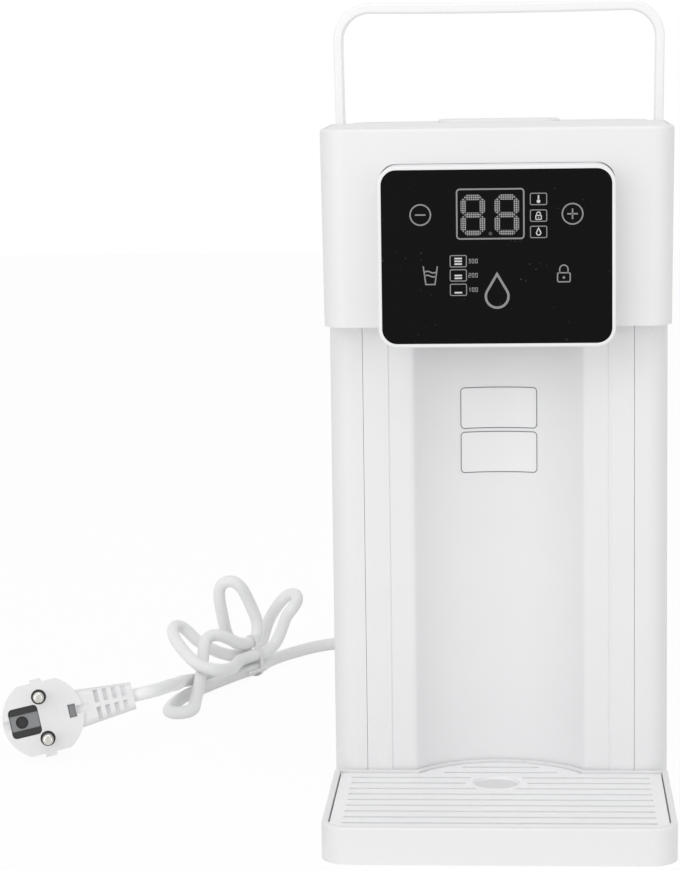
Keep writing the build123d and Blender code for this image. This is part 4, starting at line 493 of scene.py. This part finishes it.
def rounded(low, high, corner, steps=6):
    """Points round a rectangle whose corners are quarter circles.

    Each is a corner of the rectangle drawn in by the corner's radius, plus that radius times the
    cosine and sine of a turn through that corner's quarter.
    """
    low, high = np.array(low), np.array(high)
    turn = (np.arange(4)[:, None] * np.pi / 2 + np.linspace(0, np.pi / 2, steps)).ravel()
    inner = (high - low) / 2 - corner
    signs = np.repeat([[1, 1], [-1, 1], [-1, -1], [1, -1]], steps, 0)
    return (low + high) / 2 + signs * inner + corner * np.stack([np.cos(turn), np.sin(turn)], 1)


def drop_outline(apex, centre, radius, steps=40):
    """A circle's lower part with straight tangents to an apex above it.

    Seen from the centre, a tangent point stands off the apex by an angle whose cosine is the
    radius over the distance of the apex.
    """
    apex, centre = np.array(apex), np.array(centre)
    lean = np.arccos(radius / np.linalg.norm(apex - centre))
    turn = np.pi / 2 + lean + np.linspace(0, 2 * np.pi - 2 * lean, steps)
    arc = centre + radius * np.stack([np.cos(turn), np.sin(turn)], 1)
    return np.concatenate([apex[None], arc])


def wave_line(start, end, height, steps=16):
    """One sine period: a straight line from start to end, plus height times the sine of a turn."""
    share = np.linspace(0, 1, steps)[:, None]
    line = np.array(start) * (1 - share) + np.array(end) * share
    return line + np.concatenate([share * 0, height * np.sin(2 * np.pi * share)], 1)


def on_glass(part, panel, face):
    """Panel coordinates X, Z in millimetres and a height of 0 to 1, set on the glass face.

    The depth runs evenly from sink behind the face at height 0 to proud before it at height 1.
    """
    points, faces = part
    depth = face + panel.sink - points[:, 2] * (panel.sink + panel.proud)
    return np.stack([points[:, 0] * MM, depth, points[:, 1] * MM], 1), faces


# Where things stand on the panel, in millimetres across and up
KEYS = {"minus": (-30.15, 249.95), "plus": (30.15, 249.85)}
KEY_SIGN = 2.1
DISPLAY = ((-15.65, 240.3), (10.9, 259.95))
DISPLAY_CORNER = 1.2
DIGITS = ((-14.1, 241.6), (-0.65, 241.65))
DIGIT_SIZE = (9.65, 16.15)
DIGIT_POINT = (-2.35, 242.3)
POINT_RADIUS = 0.75
WINDOWS = ((13.5, 253.6), (13.5, 247.0), (13.5, 240.55))
LEVELS = ((-18.45, 229.2), (-18.45, 223.55), (-18.45, 217.8))
WINDOW_SIZE = (6.45, 4.5)
WINDOW_CORNER = 0.5
NUMBERS = ("300", "200", "100")
NUMBER_HEIGHT = 1.5
NUMBER_PITCH = 1.35
NUMBER_START = 7.35
CUP = ((-29.15, 229.5), (-28.2, 222.25), (-24.55, 222.25), (-23.55, 229.5))
WAVES = (227.2, 225.6)
WAVE_ENDS = (-28.6, -24.1)
WAVE_HEIGHT = 0.35
DROP = ((0.15, 226.2), (0.15, 217.3), 4.5)
LOCK = (26.65, 222.9)
LOCK_CASE = (5.0, 3.6)
LOCK_CORNER = 0.6
SHACKLE_RADIUS = 1.65
SHACKLE_RISE = 5.0
KEYHOLE_RADIUS = 0.5
KEYHOLE_RISE = 1.7
NUMERALS = {
    "0": ((0, 0), (1, 0), (1, 2), (0, 2), (0, 0)),
    "1": ((0.2, 1.6), (0.6, 2), (0.6, 0)),
    "2": ((0, 2), (1, 2), (1, 1), (0, 1), (0, 0), (1, 0)),
    "3": ((0, 2), (1, 2), (0.4, 1.15), (1, 0.75), (1, 0.2), (0.8, 0), (0, 0)),
}

# Small signs, in millimetres from the middle of a window or the low corner of a level's box
STEM = ((0.0, -0.4), (0.0, 1.5))
STEM_LINE = 0.55
BULB = (0.0, -0.9)
BULB_RADIUS = 0.72
SMALL_LOCK = (0.0, -1.5)
SMALL_LOCK_SHARE = 0.44
SMALL_LOCK_LINE = 0.36
SMALL_DROP = ((0.0, 1.5), (0.0, -0.4), 0.85)
SMALL_DROP_LINE = 0.4
LEVEL_BARS = (3, 2, 1)
BAR_START = (1.7, 1.1)
BAR_LENGTH = 3.0
BAR_PITCH = 1.1
BAR_LINE = 0.6


def padlock(foot, scale, width):
    """A rounded case with a round shackle over it and a keyhole, as strokes and a patch."""
    x, z = foot
    half, top = LOCK_CASE[0] / 2 * scale, z + LOCK_CASE[1] * scale
    case = rounded((x - half, z), (x + half, top), LOCK_CORNER * scale)
    turn, reach = np.linspace(0, np.pi, 17), SHACKLE_RADIUS * scale
    bow = np.stack([np.cos(turn), np.sin(turn)], 1) * reach + (x, z + SHACKLE_RISE * scale)
    shackle = np.concatenate([[(x + reach, top)], bow, [(x - reach, top)]])
    return [
        stroke(case, width, True),
        stroke(shackle, width, False),
        patch(ring((x, z + KEYHOLE_RISE * scale), KEYHOLE_RADIUS * scale, 16)),
    ]


def number_strokes(text, start, width):
    """Plain numerals as strokes on a grid one wide and two high."""
    parts = []
    for place, sign in enumerate(text):
        grid = np.array(NUMERALS[sign], float) * NUMBER_HEIGHT / 2
        parts.append(stroke(grid + start + np.array([place * NUMBER_PITCH, 0.0]), width, False))
    return parts


def segment_outlines(low, width, gap):
    """The seven six-sided bars of one digit, on a grid of corners two wide and three high.

    A bar's tips stand a gap in from two corners, and its shoulders half a width further in.
    """
    (x, z), (wide, high) = np.array(low) + width / 2, np.array(DIGIT_SIZE) - width
    half = high / 2
    corner = {(i, j): np.array([x + i * wide, z + j * half]) for i in (0, 1) for j in (0, 1, 2)}
    pairs = [((0, j), (1, j)) for j in (0, 1, 2)]
    pairs += [((i, j), (i, j + 1)) for i in (0, 1) for j in (0, 1)]
    shapes = []
    for first, last in pairs:
        start, end = corner[first], corner[last]
        way = (end - start) / np.linalg.norm(end - start)
        side = np.array([-way[1], way[0]]) * width / 2
        tip, shoulder = way * gap, way * (gap + width / 2)
        shapes.append(
            np.array(
                [start + tip, start + shoulder - side, end - shoulder - side,
                 end - tip, end - shoulder + side, start + shoulder + side]
            )
        )
    return shapes


class DISPENSER_OT_shell(bpy.types.Operator):
    """Finish the white housing, head, tray, grille, lid, handle and plug."""

    bl_idname = "dispenser.shell"
    bl_label = "White shell"

    DISH_RADIUS = 9.8
    DISH_SHIFT = (-1.6, 1.6, 0.0)

    def execute(self, context):
        colours = context.scene.dispenser_colours
        tone = colours.shell
        # Spark-eroded ABS: a soft sheen broken up by a grain of about half a millimetre
        wear(
            moulded("moulded_abs", tone, rough=0.42, grain_mm=0.55, depth_mm=0.012),
            "base_plate", "drip_tray", "right_side_shell", "left_side_shell",
            "front_panel", "rear_panel", "tank_base", "head_shell", "head_cover", "panel_housing",
            "tank_lid", "handle_pins", "cord_gland",
        )
        # Moulded ABS: the grille is painted paler than the tray for the light on its top, and the floor
        # of its shallow dish painted greyer for shade
        grille = moulded("grille_abs", colours.grille, rough=0.42, grain_mm=0.55, depth_mm=0.012)
        # Painted shade: a grey tone on the dish's floor round the nozzle's axis, moved by DISH_SHIFT
        low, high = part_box("spout_nozzle")
        middle = (low + high) / 2 + Vector(self.DISH_SHIFT) * MM
        paint_dish_shade(grille, colours.dish, middle, self.DISH_RADIUS * MM)
        wear(grille, "drip_grille")
        # Polished ABS: the bail is smoother than the housing
        wear(
            moulded("polished_abs", colours.bail, rough=0.26, grain_mm=0.9, depth_mm=0.006),
            "tank_handle",
        )
        # Flexible PVC: the plug's body is softer to the eye and a little rougher
        wear(
            moulded("moulded_pvc", tone, rough=0.5, grain_mm=0.4, depth_mm=0.015, ior=1.52),
            "plug_body",
        )
        return {"FINISHED"}


class DISPENSER_OT_works(bpy.types.Operator):
    """Finish the pump, heater, boards, tubes and valve inside."""

    bl_idname = "dispenser.works"
    bl_label = "Works inside"

    def execute(self, context):
        # Drawn stainless steel: long faint strokes
        wear(
            drawn_metal("drawn_stainless", linear("#B9BABB"), rough=0.3, stroke_mm=0.3, stretch=30.0),
            "heater_tube", "heater_clamps", "pump_motor",
        )
        # Zinc-plated steel: a dull blue-grey
        wear(
            drawn_metal("zinc_plated_steel", linear("#A7ACB2"), rough=0.38, stroke_mm=0.4, stretch=4.0),
            "base_screws", "board_screws",
        )
        # Spring steel: darker and sharper
        wear(
            drawn_metal("spring_steel", linear("#8F9193"), rough=0.3, stroke_mm=0.25, stretch=8.0),
            "touch_springs", "temperature_sensor", "valve_spring",
        )
        # Glass-filled nylon: near black and matt
        wear(
            moulded("glass_filled_nylon", linear("#222326"), rough=0.55, grain_mm=0.4, depth_mm=0.02),
            "heater_lower_cap", "heater_upper_cap", "thermal_cutouts", "pump_body", "pump_rotor",
            "board_relay", "board_transformer", "board_capacitor", "digit_display", "indicator_lamps",
        )
        # Natural acetal: light grey and waxy
        wear(
            moulded("moulded_acetal", linear("#B9BCC0"), rough=0.4, grain_mm=0.5, depth_mm=0.01),
            "tank_dock", "terminal_block", "valve_housing", "valve_plunger", "tank_filter",
        )
        # Clear silicone rubber: milky, with a soft sheen
        wear(
            moulded(
                "silicone_rubber", linear("#DAD9D5"), rough=0.35, grain_mm=1.2, depth_mm=0.01, ior=1.41
            ),
            "dock_seal", "spout_nozzle", "inlet_tube", "pump_tube", "outlet_tube", "lid_seal",
            "valve_seal",
        )
        # Nitrile rubber: black and matt
        wear(
            moulded("nitrile_rubber", linear("#1F1F20"), rough=0.75, grain_mm=0.5, depth_mm=0.03),
            "rubber_feet", "pump_mount",
        )
        # Solder mask: a glossy green lacquer over copper tracks
        wear(
            solder_mask("solder_mask", linear("#14532F"), linear("#2E7A45")),
            "control_board", "power_board",
        )
        return {"FINISHED"}


class DISPENSER_OT_tank(bpy.types.Operator):
    """Finish the water tank."""

    bl_idname = "dispenser.tank"
    bl_label = "Water tank"

    def execute(self, context):
        # Frosted styrene: light passes through the wall and scatters at its faces
        tone = context.scene.dispenser_colours.tank
        wear(
            moulded(
                "frosted_styrene", tone, rough=0.3, grain_mm=0.8, depth_mm=0.01, ior=1.57,
                Transmission_Weight=0.45,
            ),
            "tank_body",
        )
        return {"FINISHED"}


class DISPENSER_OT_panel(bpy.types.Operator):
    """Finish the touch panel and print its keys, windows, icons and numbers."""

    bl_idname = "dispenser.panel"
    bl_label = "Touch panel"

    def execute(self, context):
        colours, panel = context.scene.dispenser_colours, context.scene.dispenser_panel
        wear(panel_glass(colours), "control_glass")
        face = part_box("control_glass")[0].y
        ink, lit = printed("screen_ink", colours.ink), printed("pale_ink", colours.lit)
        lines = [name for name in panel.bl_rna.properties.keys() if name.endswith("line")]
        wide = {name: getattr(panel, name) / MM for name in lines}
        radius = panel.key_radius / MM
        keys = [stroke(ring(place, radius), wide["key_line"], True) for place in KEYS.values()]
        for sign, ways in (("minus", [(1, 0)]), ("plus", [(1, 0), (0, 1)])):
            middle = np.array(KEYS[sign])
            for way in np.array(ways) * KEY_SIGN:
                keys.append(stroke(np.array([middle - way, middle + way]), wide["key_line"], False))
        size = np.array(WINDOW_SIZE)
        windows = [
            stroke(rounded(low, low + size, WINDOW_CORNER), wide["window_line"], True)
            for low in np.array(WINDOWS + LEVELS)
        ]
        windows.append(stroke(rounded(*DISPLAY, DISPLAY_CORNER), wide["frame_line"], True))
        icons = [
            stroke(np.array(CUP), wide["icon_line"], False),
            stroke(drop_outline(*DROP), wide["drop_line"], True),
        ]
        for z in WAVES:
            wave = wave_line((WAVE_ENDS[0], z), (WAVE_ENDS[1], z), WAVE_HEIGHT)
            icons.append(stroke(wave, wide["icon_line"], False))
        icons += padlock(LOCK, 1.0, wide["icon_line"])
        numbers = []
        for text, low in zip(NUMBERS, LEVELS):
            start = np.array(low) + (NUMBER_START, (WINDOW_SIZE[1] - NUMBER_HEIGHT) / 2)
            numbers += number_strokes(text, start, wide["number_line"])
        heat, lock, drop = np.array(WINDOWS) + size / 2
        apex, centre, bowl = SMALL_DROP
        signs = [
            stroke(heat + np.array(STEM), STEM_LINE, False),
            patch(ring(heat + BULB, BULB_RADIUS, 20)),
            *padlock(lock + SMALL_LOCK, SMALL_LOCK_SHARE, SMALL_LOCK_LINE),
            stroke(drop_outline(drop + apex, drop + centre, bowl), SMALL_DROP_LINE, True),
        ]
        bar = np.array([(0.0, 0.0), (BAR_LENGTH, 0.0)])
        for count, low in zip(LEVEL_BARS, LEVELS):
            for rise in BAR_PITCH * np.arange(count):
                start = np.array(low) + BAR_START + (0.0, rise)
                signs.append(stroke(start + bar, BAR_LINE, False))
        for name, parts, material in (
            ("panel_keys", keys, ink), ("panel_windows", windows, ink), ("panel_icons", icons, ink),
            ("panel_numbers", numbers, ink), ("panel_signs", signs, lit),
        ):
            points, faces = joined([on_glass(part, panel, face) for part in parts])
            piece(name, points, faces, material, "housing", "grey_plastic")
        return {"FINISHED"}


class DISPENSER_OT_digits(bpy.types.Operator):
    """Add the unlit segments of the two display digits."""

    bl_idname = "dispenser.digits"
    bl_label = "Display digits"

    def execute(self, context):
        colours, panel = context.scene.dispenser_colours, context.scene.dispenser_panel
        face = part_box("control_glass")[0].y
        # LED segments under smoked film, with a lattice coarse enough for the render to show
        film = hatched("smoked_segment_film", colours.segment, linear("#2A2A2B"), pitch_mm=0.85)
        shapes = [
            shape for low in DIGITS
            for shape in segment_outlines(low, panel.segment_width / MM, panel.segment_gap / MM)
        ]
        parts = [patch(shape) for shape in shapes]
        points, faces = joined([on_glass(part, panel, face) for part in parts])
        piece("digit_segments", points, faces, film, "housing", "grey_plastic")
        dim = printed("dim_ink", linear("#4A4A4B"))
        points, faces = on_glass(patch(ring(DIGIT_POINT, POINT_RADIUS, 24)), panel, face)
        piece("digit_point", points, faces, dim, "housing", "grey_plastic")
        return {"FINISHED"}


class DISPENSER_OT_plates(bpy.types.Operator):
    """Add the two blank film plates on the curved back of the cup bay."""

    bl_idname = "dispenser.plates"
    bl_label = "Blank plates"

    MIDDLES = (166.0, 147.3)
    SIZE = (33.4, 18.1)
    CORNER = 1.6
    BORDER = 0.4
    BORDER_INSET = 0.5
    BORDER_LIFTS = (0.02, 0.1)
    FILM_LIFTS = (0.0, 0.06)
    COLUMNS, ROWS, BORDER_STEPS = 24, 3, 12
    RECESS_RADIUS = 44.0
    RECESS_Y = -62.0

    def bent(self, part, low, high):
        """Flat coordinates wrapped on the recess, with heights between two lifts off its wall.

        The place across over the recess's radius is an angle, and the reach is the radius less
        the lift.
        """
        points, faces = part
        lift = low + points[:, 2] * (high - low)
        turn = points[:, 0] / self.RECESS_RADIUS
        reach = self.RECESS_RADIUS - lift
        place = np.stack([reach * np.sin(turn), self.RECESS_Y + reach * np.cos(turn), points[:, 1]], 1)
        return place * MM, faces

    def execute(self, context):
        # Polyester film: white, and a touch glossier than the wall behind it
        film = moulded(
            "polyester_film", linear("#EDEDEE"), rough=0.22, grain_mm=1.5, depth_mm=0.004, ior=1.57
        )
        edge = printed("border_ink", linear("#7E7F82"))
        half = np.array(self.SIZE) / 2
        inner = half - self.BORDER_INSET
        quads = lattice(self.ROWS, self.COLUMNS, False, False).tolist()
        steps = np.linspace(0, 1, self.BORDER_STEPS, endpoint=False)[None, :, None]
        sheets, borders = [], []
        for z in self.MIDDLES:
            across = np.linspace(-half[0], half[0], self.COLUMNS)
            up = np.linspace(-half[1], half[1], self.ROWS) + z
            grid = np.stack(np.broadcast_arrays(across[None], up[:, None], 1.0), -1).reshape(-1, 3)
            sheets.append(self.bent((grid, quads), *self.FILM_LIFTS))
            corners = rounded((-inner[0], z - inner[1]), (inner[0], z + inner[1]), self.CORNER)[:, None]
            outline = (corners * (1 - steps) + np.roll(corners, -1, 0) * steps).reshape(-1, 2)
            borders.append(self.bent(stroke(outline, self.BORDER, True), *self.BORDER_LIFTS))
        piece("blank_plates", *joined(sheets), film, "housing", "white_plastic", smooth=True)
        piece("plate_borders", *joined(borders), edge, "housing", "grey_plastic")
        return {"FINISHED"}


# Mains cord, in millimetres: places chosen so that the loops lie as photographed
BEHIND = (
    (-35.0, 151.0, 14.0), (-35.0, 171.0, 14.0), (-35.0, 200.0, 7.4), (-35.0, 225.0, 3.2),
    (-35.0, 250.3, 3.2), (-49.5, 270.3, 3.2), (-73.0, 268.0, 3.2), (-95.0, 262.0, 3.2),
    (-113.0, 238.3, 3.2), (-122.0, 215.5, 4.0), (-123.5, 204.5, 4.0),
)
LOW_LOOP = (
    (-133.5, 189.5, 4.0), (-146.5, 164.5, 3.5), (-154.5, 145.0, 3.5), (-158.5, 130.0, 3.5),
    (-159.5, 117.0, 3.5), (-159.5, 112.0, 3.5), (-156.0, 108.5, 3.5), (-151.0, 108.5, 3.8),
    (-147.5, 112.0, 4.3), (-147.5, 117.0, 4.9), (-148.0, 130.0, 6.3), (-148.5, 147.0, 8.5),
    (-149.0, 163.0, 11.5), (-150.0, 176.5, 15.5), (-150.0, 182.0, 19.0), (-149.5, 186.0, 22.5),
    (-146.0, 189.0, 24.0), (-142.0, 190.0, 23.3), (-136.5, 193.0, 20.0), (-132.5, 196.5, 17.3),
    (-127.5, 204.0, 17.0),
)
TOP_LOOP = (
    (-125.5, 209.0, 20.5), (-126.0, 210.5, 27.0), (-128.5, 209.0, 34.0), (-131.0, 207.0, 40.5),
    (-133.0, 205.0, 45.0), (-136.5, 205.0, 48.0), (-141.0, 206.0, 48.0), (-144.5, 208.0, 44.5),
    (-145.0, 209.0, 39.0), (-144.0, 211.0, 31.0), (-142.5, 214.5, 20.0), (-141.0, 216.5, 16.0),
    (-137.5, 217.0, 13.3), (-133.5, 215.0, 12.0), (-131.5, 211.0, 11.3), (-131.5, 205.0, 11.0),
)
LEFT_LOOP = (
    (-137.0, 197.5, 11.0), (-146.0, 199.0, 13.0), (-156.0, 200.5, 18.5), (-160.0, 200.5, 23.0),
    (-163.5, 200.0, 26.0), (-166.5, 196.5, 27.0), (-167.0, 191.0, 25.0), (-163.5, 181.0, 21.5),
    (-153.5, 159.0, 17.8), (-149.0, 152.5, 16.5), (-143.0, 150.0, 15.2), (-137.5, 153.0, 14.0),
    (-134.5, 160.0, 13.0), (-133.5, 172.0, 12.0), (-133.0, 189.5, 11.0), (-125.5, 201.0, 11.0),
)
RIGHT_LOOP = (
    (-120.5, 208.5, 11.0), (-116.5, 214.5, 14.5), (-113.5, 215.5, 22.0), (-111.5, 215.0, 28.0),
    (-108.0, 215.0, 32.0), (-105.5, 218.5, 36.0), (-107.0, 223.5, 38.0), (-111.0, 227.0, 37.0),
    (-115.5, 227.5, 33.0), (-121.5, 229.5, 24.0), (-124.5, 228.5, 14.5), (-126.0, 221.5, 9.0),
    (-128.0, 213.0, 6.5), (-130.5, 206.0, 4.0),
)
LEAD = (
    (-140.0, 191.5, 4.0), (-152.0, 172.0, 5.0), (-157.5, 149.0, 9.5), (-155.5, 124.0, 14.5),
    (-154.5, 100.5, 19.0), (-153.0, 80.0, 24.0), (-153.5, 66.0, 26.5), (-157.5, 56.0, 27.0),
    (-162.3, 50.8, 27.0), (-167.1, 49.7, 26.0),
)
ROUTE = BEHIND + LOW_LOOP + TOP_LOOP + LEFT_LOOP + RIGHT_LOOP + LEAD


class DISPENSER_OT_cord(bpy.types.Operator):
    """Lay the mains cord through its tied hank to the plug, and finish the tie."""

    bl_idname = "dispenser.cord"
    bl_label = "Mains cord"

    def execute(self, context):
        settings = context.scene.dispenser_cord
        curve = bpy.data.curves.new("mains_cord", "CURVE")
        curve.dimensions = "3D"
        curve.bevel_depth = settings.diameter / 2
        curve.bevel_resolution = 5
        curve.resolution_u = 8
        curve.use_fill_caps = True
        spline = curve.splines.new("NURBS")
        spline.points.add(len(ROUTE) - 1)
        points = np.array(ROUTE) * MM
        spline.points.foreach_set("co", np.append(points, np.ones((len(ROUTE), 1)), 1).ravel())
        spline.order_u = 3
        spline.use_endpoint_u = True
        # PVC sheath: extruded smooth, so its grain is long, low and hardly there
        tone = context.scene.dispenser_colours.sheath
        sheath = moulded("extruded_pvc", tone, rough=0.4, grain_mm=1.6, depth_mm=0.01, ior=1.52)
        curve.materials.append(sheath)
        cord = bpy.data.objects.new("mains_cord", curve)
        context.scene.collection.objects.link(cord)
        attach(cord, "housing")
        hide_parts("power_cord", "cord_hank", "plug_lead")
        # Coated twist tie: white, with a slight waviness
        wear(
            moulded("coated_tie", linear("#F0F0F0"), rough=0.35, grain_mm=0.8, depth_mm=0.02),
            "cord_tie",
        )
        wear(sheath, "mains_lead")
        return {"FINISHED"}


class DISPENSER_OT_plug(bpy.types.Operator):
    """Finish the plug's metal and its black insert."""

    bl_idname = "dispenser.plug"
    bl_label = "Plug"

    def execute(self, context):
        # Nickel-plated brass: bright, with a faint mottle
        wear(
            drawn_metal(
                "nickel_plated_brass", linear("#D6D4CF"), rough=0.16, stroke_mm=0.3, stretch=1.0,
                depth_mm=0.004,
            ),
            "plug_pins",
        )
        # Tinned spring steel: duller and darker than the pins
        wear(
            drawn_metal(
                "tinned_spring_steel", linear("#86888A"), rough=0.35, stroke_mm=0.4, stretch=1.0
            ),
            "plug_contacts",
        )
        # Phenolic resin: black, hard and matt
        tone = context.scene.dispenser_colours.insert
        wear(
            moulded("black_phenolic", tone, rough=0.5, grain_mm=0.5, depth_mm=0.02),
            "plug_insert",
        )
        return {"FINISHED"}


class DISPENSER_OT_stage(bpy.types.Operator):
    """Add the floor, the soft light, the white surround and the camera."""

    bl_idname = "dispenser.stage"
    bl_label = "Studio"

    CAMERA = (0.01193, -1.18161, 0.321)
    PITCH, YAW, ROLL = np.radians((8.12, -3.87, -0.83))
    LONG_SIDE, NEAREST = 36.0, 0.05
    FLOOR_HALF = 3.0
    FLOOR_WHITE, WORLD_WHITE = 0.95, 1.0
    AIM = (0.0, 0.0, 0.14)
    LAMPS = {
        "key": ((-0.85, -1.55, 0.65), 1.4),
        "fill": ((1.0, -1.5, 0.45), 1.2),
        "top": ((0.1, -0.6, 1.5), 1.4),
    }

    def white_for_view(self, tree, most_share):
        """A share that is most_share for view, gloss and glass rays, and nothing for the rest."""
        path = put(tree, "ShaderNodeLightPath")
        seen = path.outputs["Is Camera Ray"]
        for ray in ("Is Glossy Ray", "Is Transmission Ray"):
            most = put(tree, "ShaderNodeMath", {0: seen, 1: path.outputs[ray]}, operation="MAXIMUM")
            seen = most.outputs["Value"]
        share = put(tree, "ShaderNodeMath", {0: seen, 1: most_share}, operation="MULTIPLY")
        return share.outputs["Value"]

    def execute(self, context):
        scene, settings = context.scene, context.scene.dispenser_stage
        half = self.FLOOR_HALF
        mesh = bpy.data.meshes.new("floor")
        corners = [(-half, -half, 0), (half, -half, 0), (half, half, 0), (-half, half, 0)]
        mesh.from_pydata(corners, [], [(0, 1, 2, 3)])
        floor = bpy.data.objects.new("floor", mesh)
        scene.collection.objects.link(floor)
        paper = bpy.data.materials.new("backdrop_paper")
        paper.use_nodes = True
        tree = paper.node_tree
        tree.nodes.clear()
        matt = put(tree, "ShaderNodeBsdfDiffuse", {"Color": settings.floor})
        glow = put(tree, "ShaderNodeEmission", {"Color": (1, 1, 1, 1), "Strength": 1.0})
        share = self.white_for_view(tree, self.FLOOR_WHITE)
        mix = put(
            tree, "ShaderNodeMixShader",
            {"Fac": share, 1: matt.outputs["BSDF"], 2: glow.outputs["Emission"]},
        )
        put(tree, "ShaderNodeOutputMaterial", {"Surface": mix.outputs["Shader"]})
        mesh.materials.append(paper)

        world = bpy.data.worlds.new("studio")
        scene.world = world
        world.use_nodes = True
        tree = world.node_tree
        tree.nodes.clear()
        even = put(tree, "ShaderNodeBackground", {"Color": (1, 1, 1, 1), "Strength": settings.ambient})
        white = put(tree, "ShaderNodeBackground", {"Color": (1, 1, 1, 1), "Strength": 1.0})
        share = self.white_for_view(tree, self.WORLD_WHITE)
        mix = put(
            tree, "ShaderNodeMixShader",
            {"Fac": share, 1: even.outputs["Background"], 2: white.outputs["Background"]},
        )
        put(tree, "ShaderNodeOutputWorld", {"Surface": mix.outputs["Shader"]})

        for name, (place, size) in self.LAMPS.items():
            lamp = bpy.data.lights.new(f"{name}_lamp", "AREA")
            lamp.size, lamp.energy = size, getattr(settings, name)
            holder = bpy.data.objects.new(f"{name}_lamp", lamp)
            holder.location = place
            sight = Vector(self.AIM) - Vector(place)
            holder.rotation_euler = sight.to_track_quat("-Z", "Y").to_euler()
            scene.collection.objects.link(holder)

        level = Vector((np.sin(self.YAW), np.cos(self.YAW), 0))
        right = Vector((np.cos(self.YAW), -np.sin(self.YAW), 0))
        ahead = level * np.cos(self.PITCH) - Vector((0, 0, np.sin(self.PITCH)))
        up = level * np.sin(self.PITCH) + Vector((0, 0, np.cos(self.PITCH)))
        turned = right * np.cos(self.ROLL) + up * np.sin(self.ROLL)
        upright = up * np.cos(self.ROLL) - right * np.sin(self.ROLL)
        lens = bpy.data.cameras.new("camera")
        lens.lens, lens.sensor_width, lens.clip_start = settings.lens, self.LONG_SIDE, self.NEAREST
        camera = bpy.data.objects.new("camera", lens)
        facing = Matrix((turned, upright, -ahead)).transposed().to_4x4()
        camera.matrix_world = Matrix.Translation(self.CAMERA) @ facing
        scene.collection.objects.link(camera)
        scene.camera = camera
        scene.view_settings.view_transform = "Standard"
        return {"FINISHED"}


OPERATORS = (
    DISPENSER_OT_stage, DISPENSER_OT_cord, DISPENSER_OT_shell, DISPENSER_OT_works, DISPENSER_OT_tank,
    DISPENSER_OT_panel, DISPENSER_OT_digits, DISPENSER_OT_plates, DISPENSER_OT_plug,
)


class DISPENSER_PT_looks(bpy.types.Panel):
    """Sidebar panel with the operators and their settings."""

    bl_idname = "DISPENSER_PT_looks"
    bl_label = "Hot water dispenser"
    bl_space_type = "VIEW_3D"
    bl_region_type = "UI"
    bl_category = "Dispenser"

    def draw(self, context):
        for operator in OPERATORS:
            self.layout.operator(operator.bl_idname)
        for group in GROUPS:
            column = self.layout.column(align=True)
            settings = getattr(context.scene, group)
            for name in settings.bl_rna.properties.keys():
                if name not in ("rna_type", "name"):
                    column.prop(settings, name)


def register():
    """Adds the settings to the scene, and the operators and the panel to Blender."""
    for name, group in GROUPS.items():
        bpy.utils.register_class(group)
        setattr(bpy.types.Scene, name, bpy.props.PointerProperty(type=group))
    for operator in OPERATORS:
        bpy.utils.register_class(operator)
    bpy.utils.register_class(DISPENSER_PT_looks)


def unregister():
    """Takes away what register added, the panel first and the settings last."""
    bpy.utils.unregister_class(DISPENSER_PT_looks)
    for operator in reversed(OPERATORS):
        bpy.utils.unregister_class(operator)
    for name, group in GROUPS.items():
        delattr(bpy.types.Scene, name)
        bpy.utils.unregister_class(group)


def main():
    """Builds the whole scene."""
    register()
    for operator in OPERATORS:
        group, name = operator.bl_idname.split(".")
        getattr(getattr(bpy.ops, group), name)()


if __name__ == "__main__":
    main()
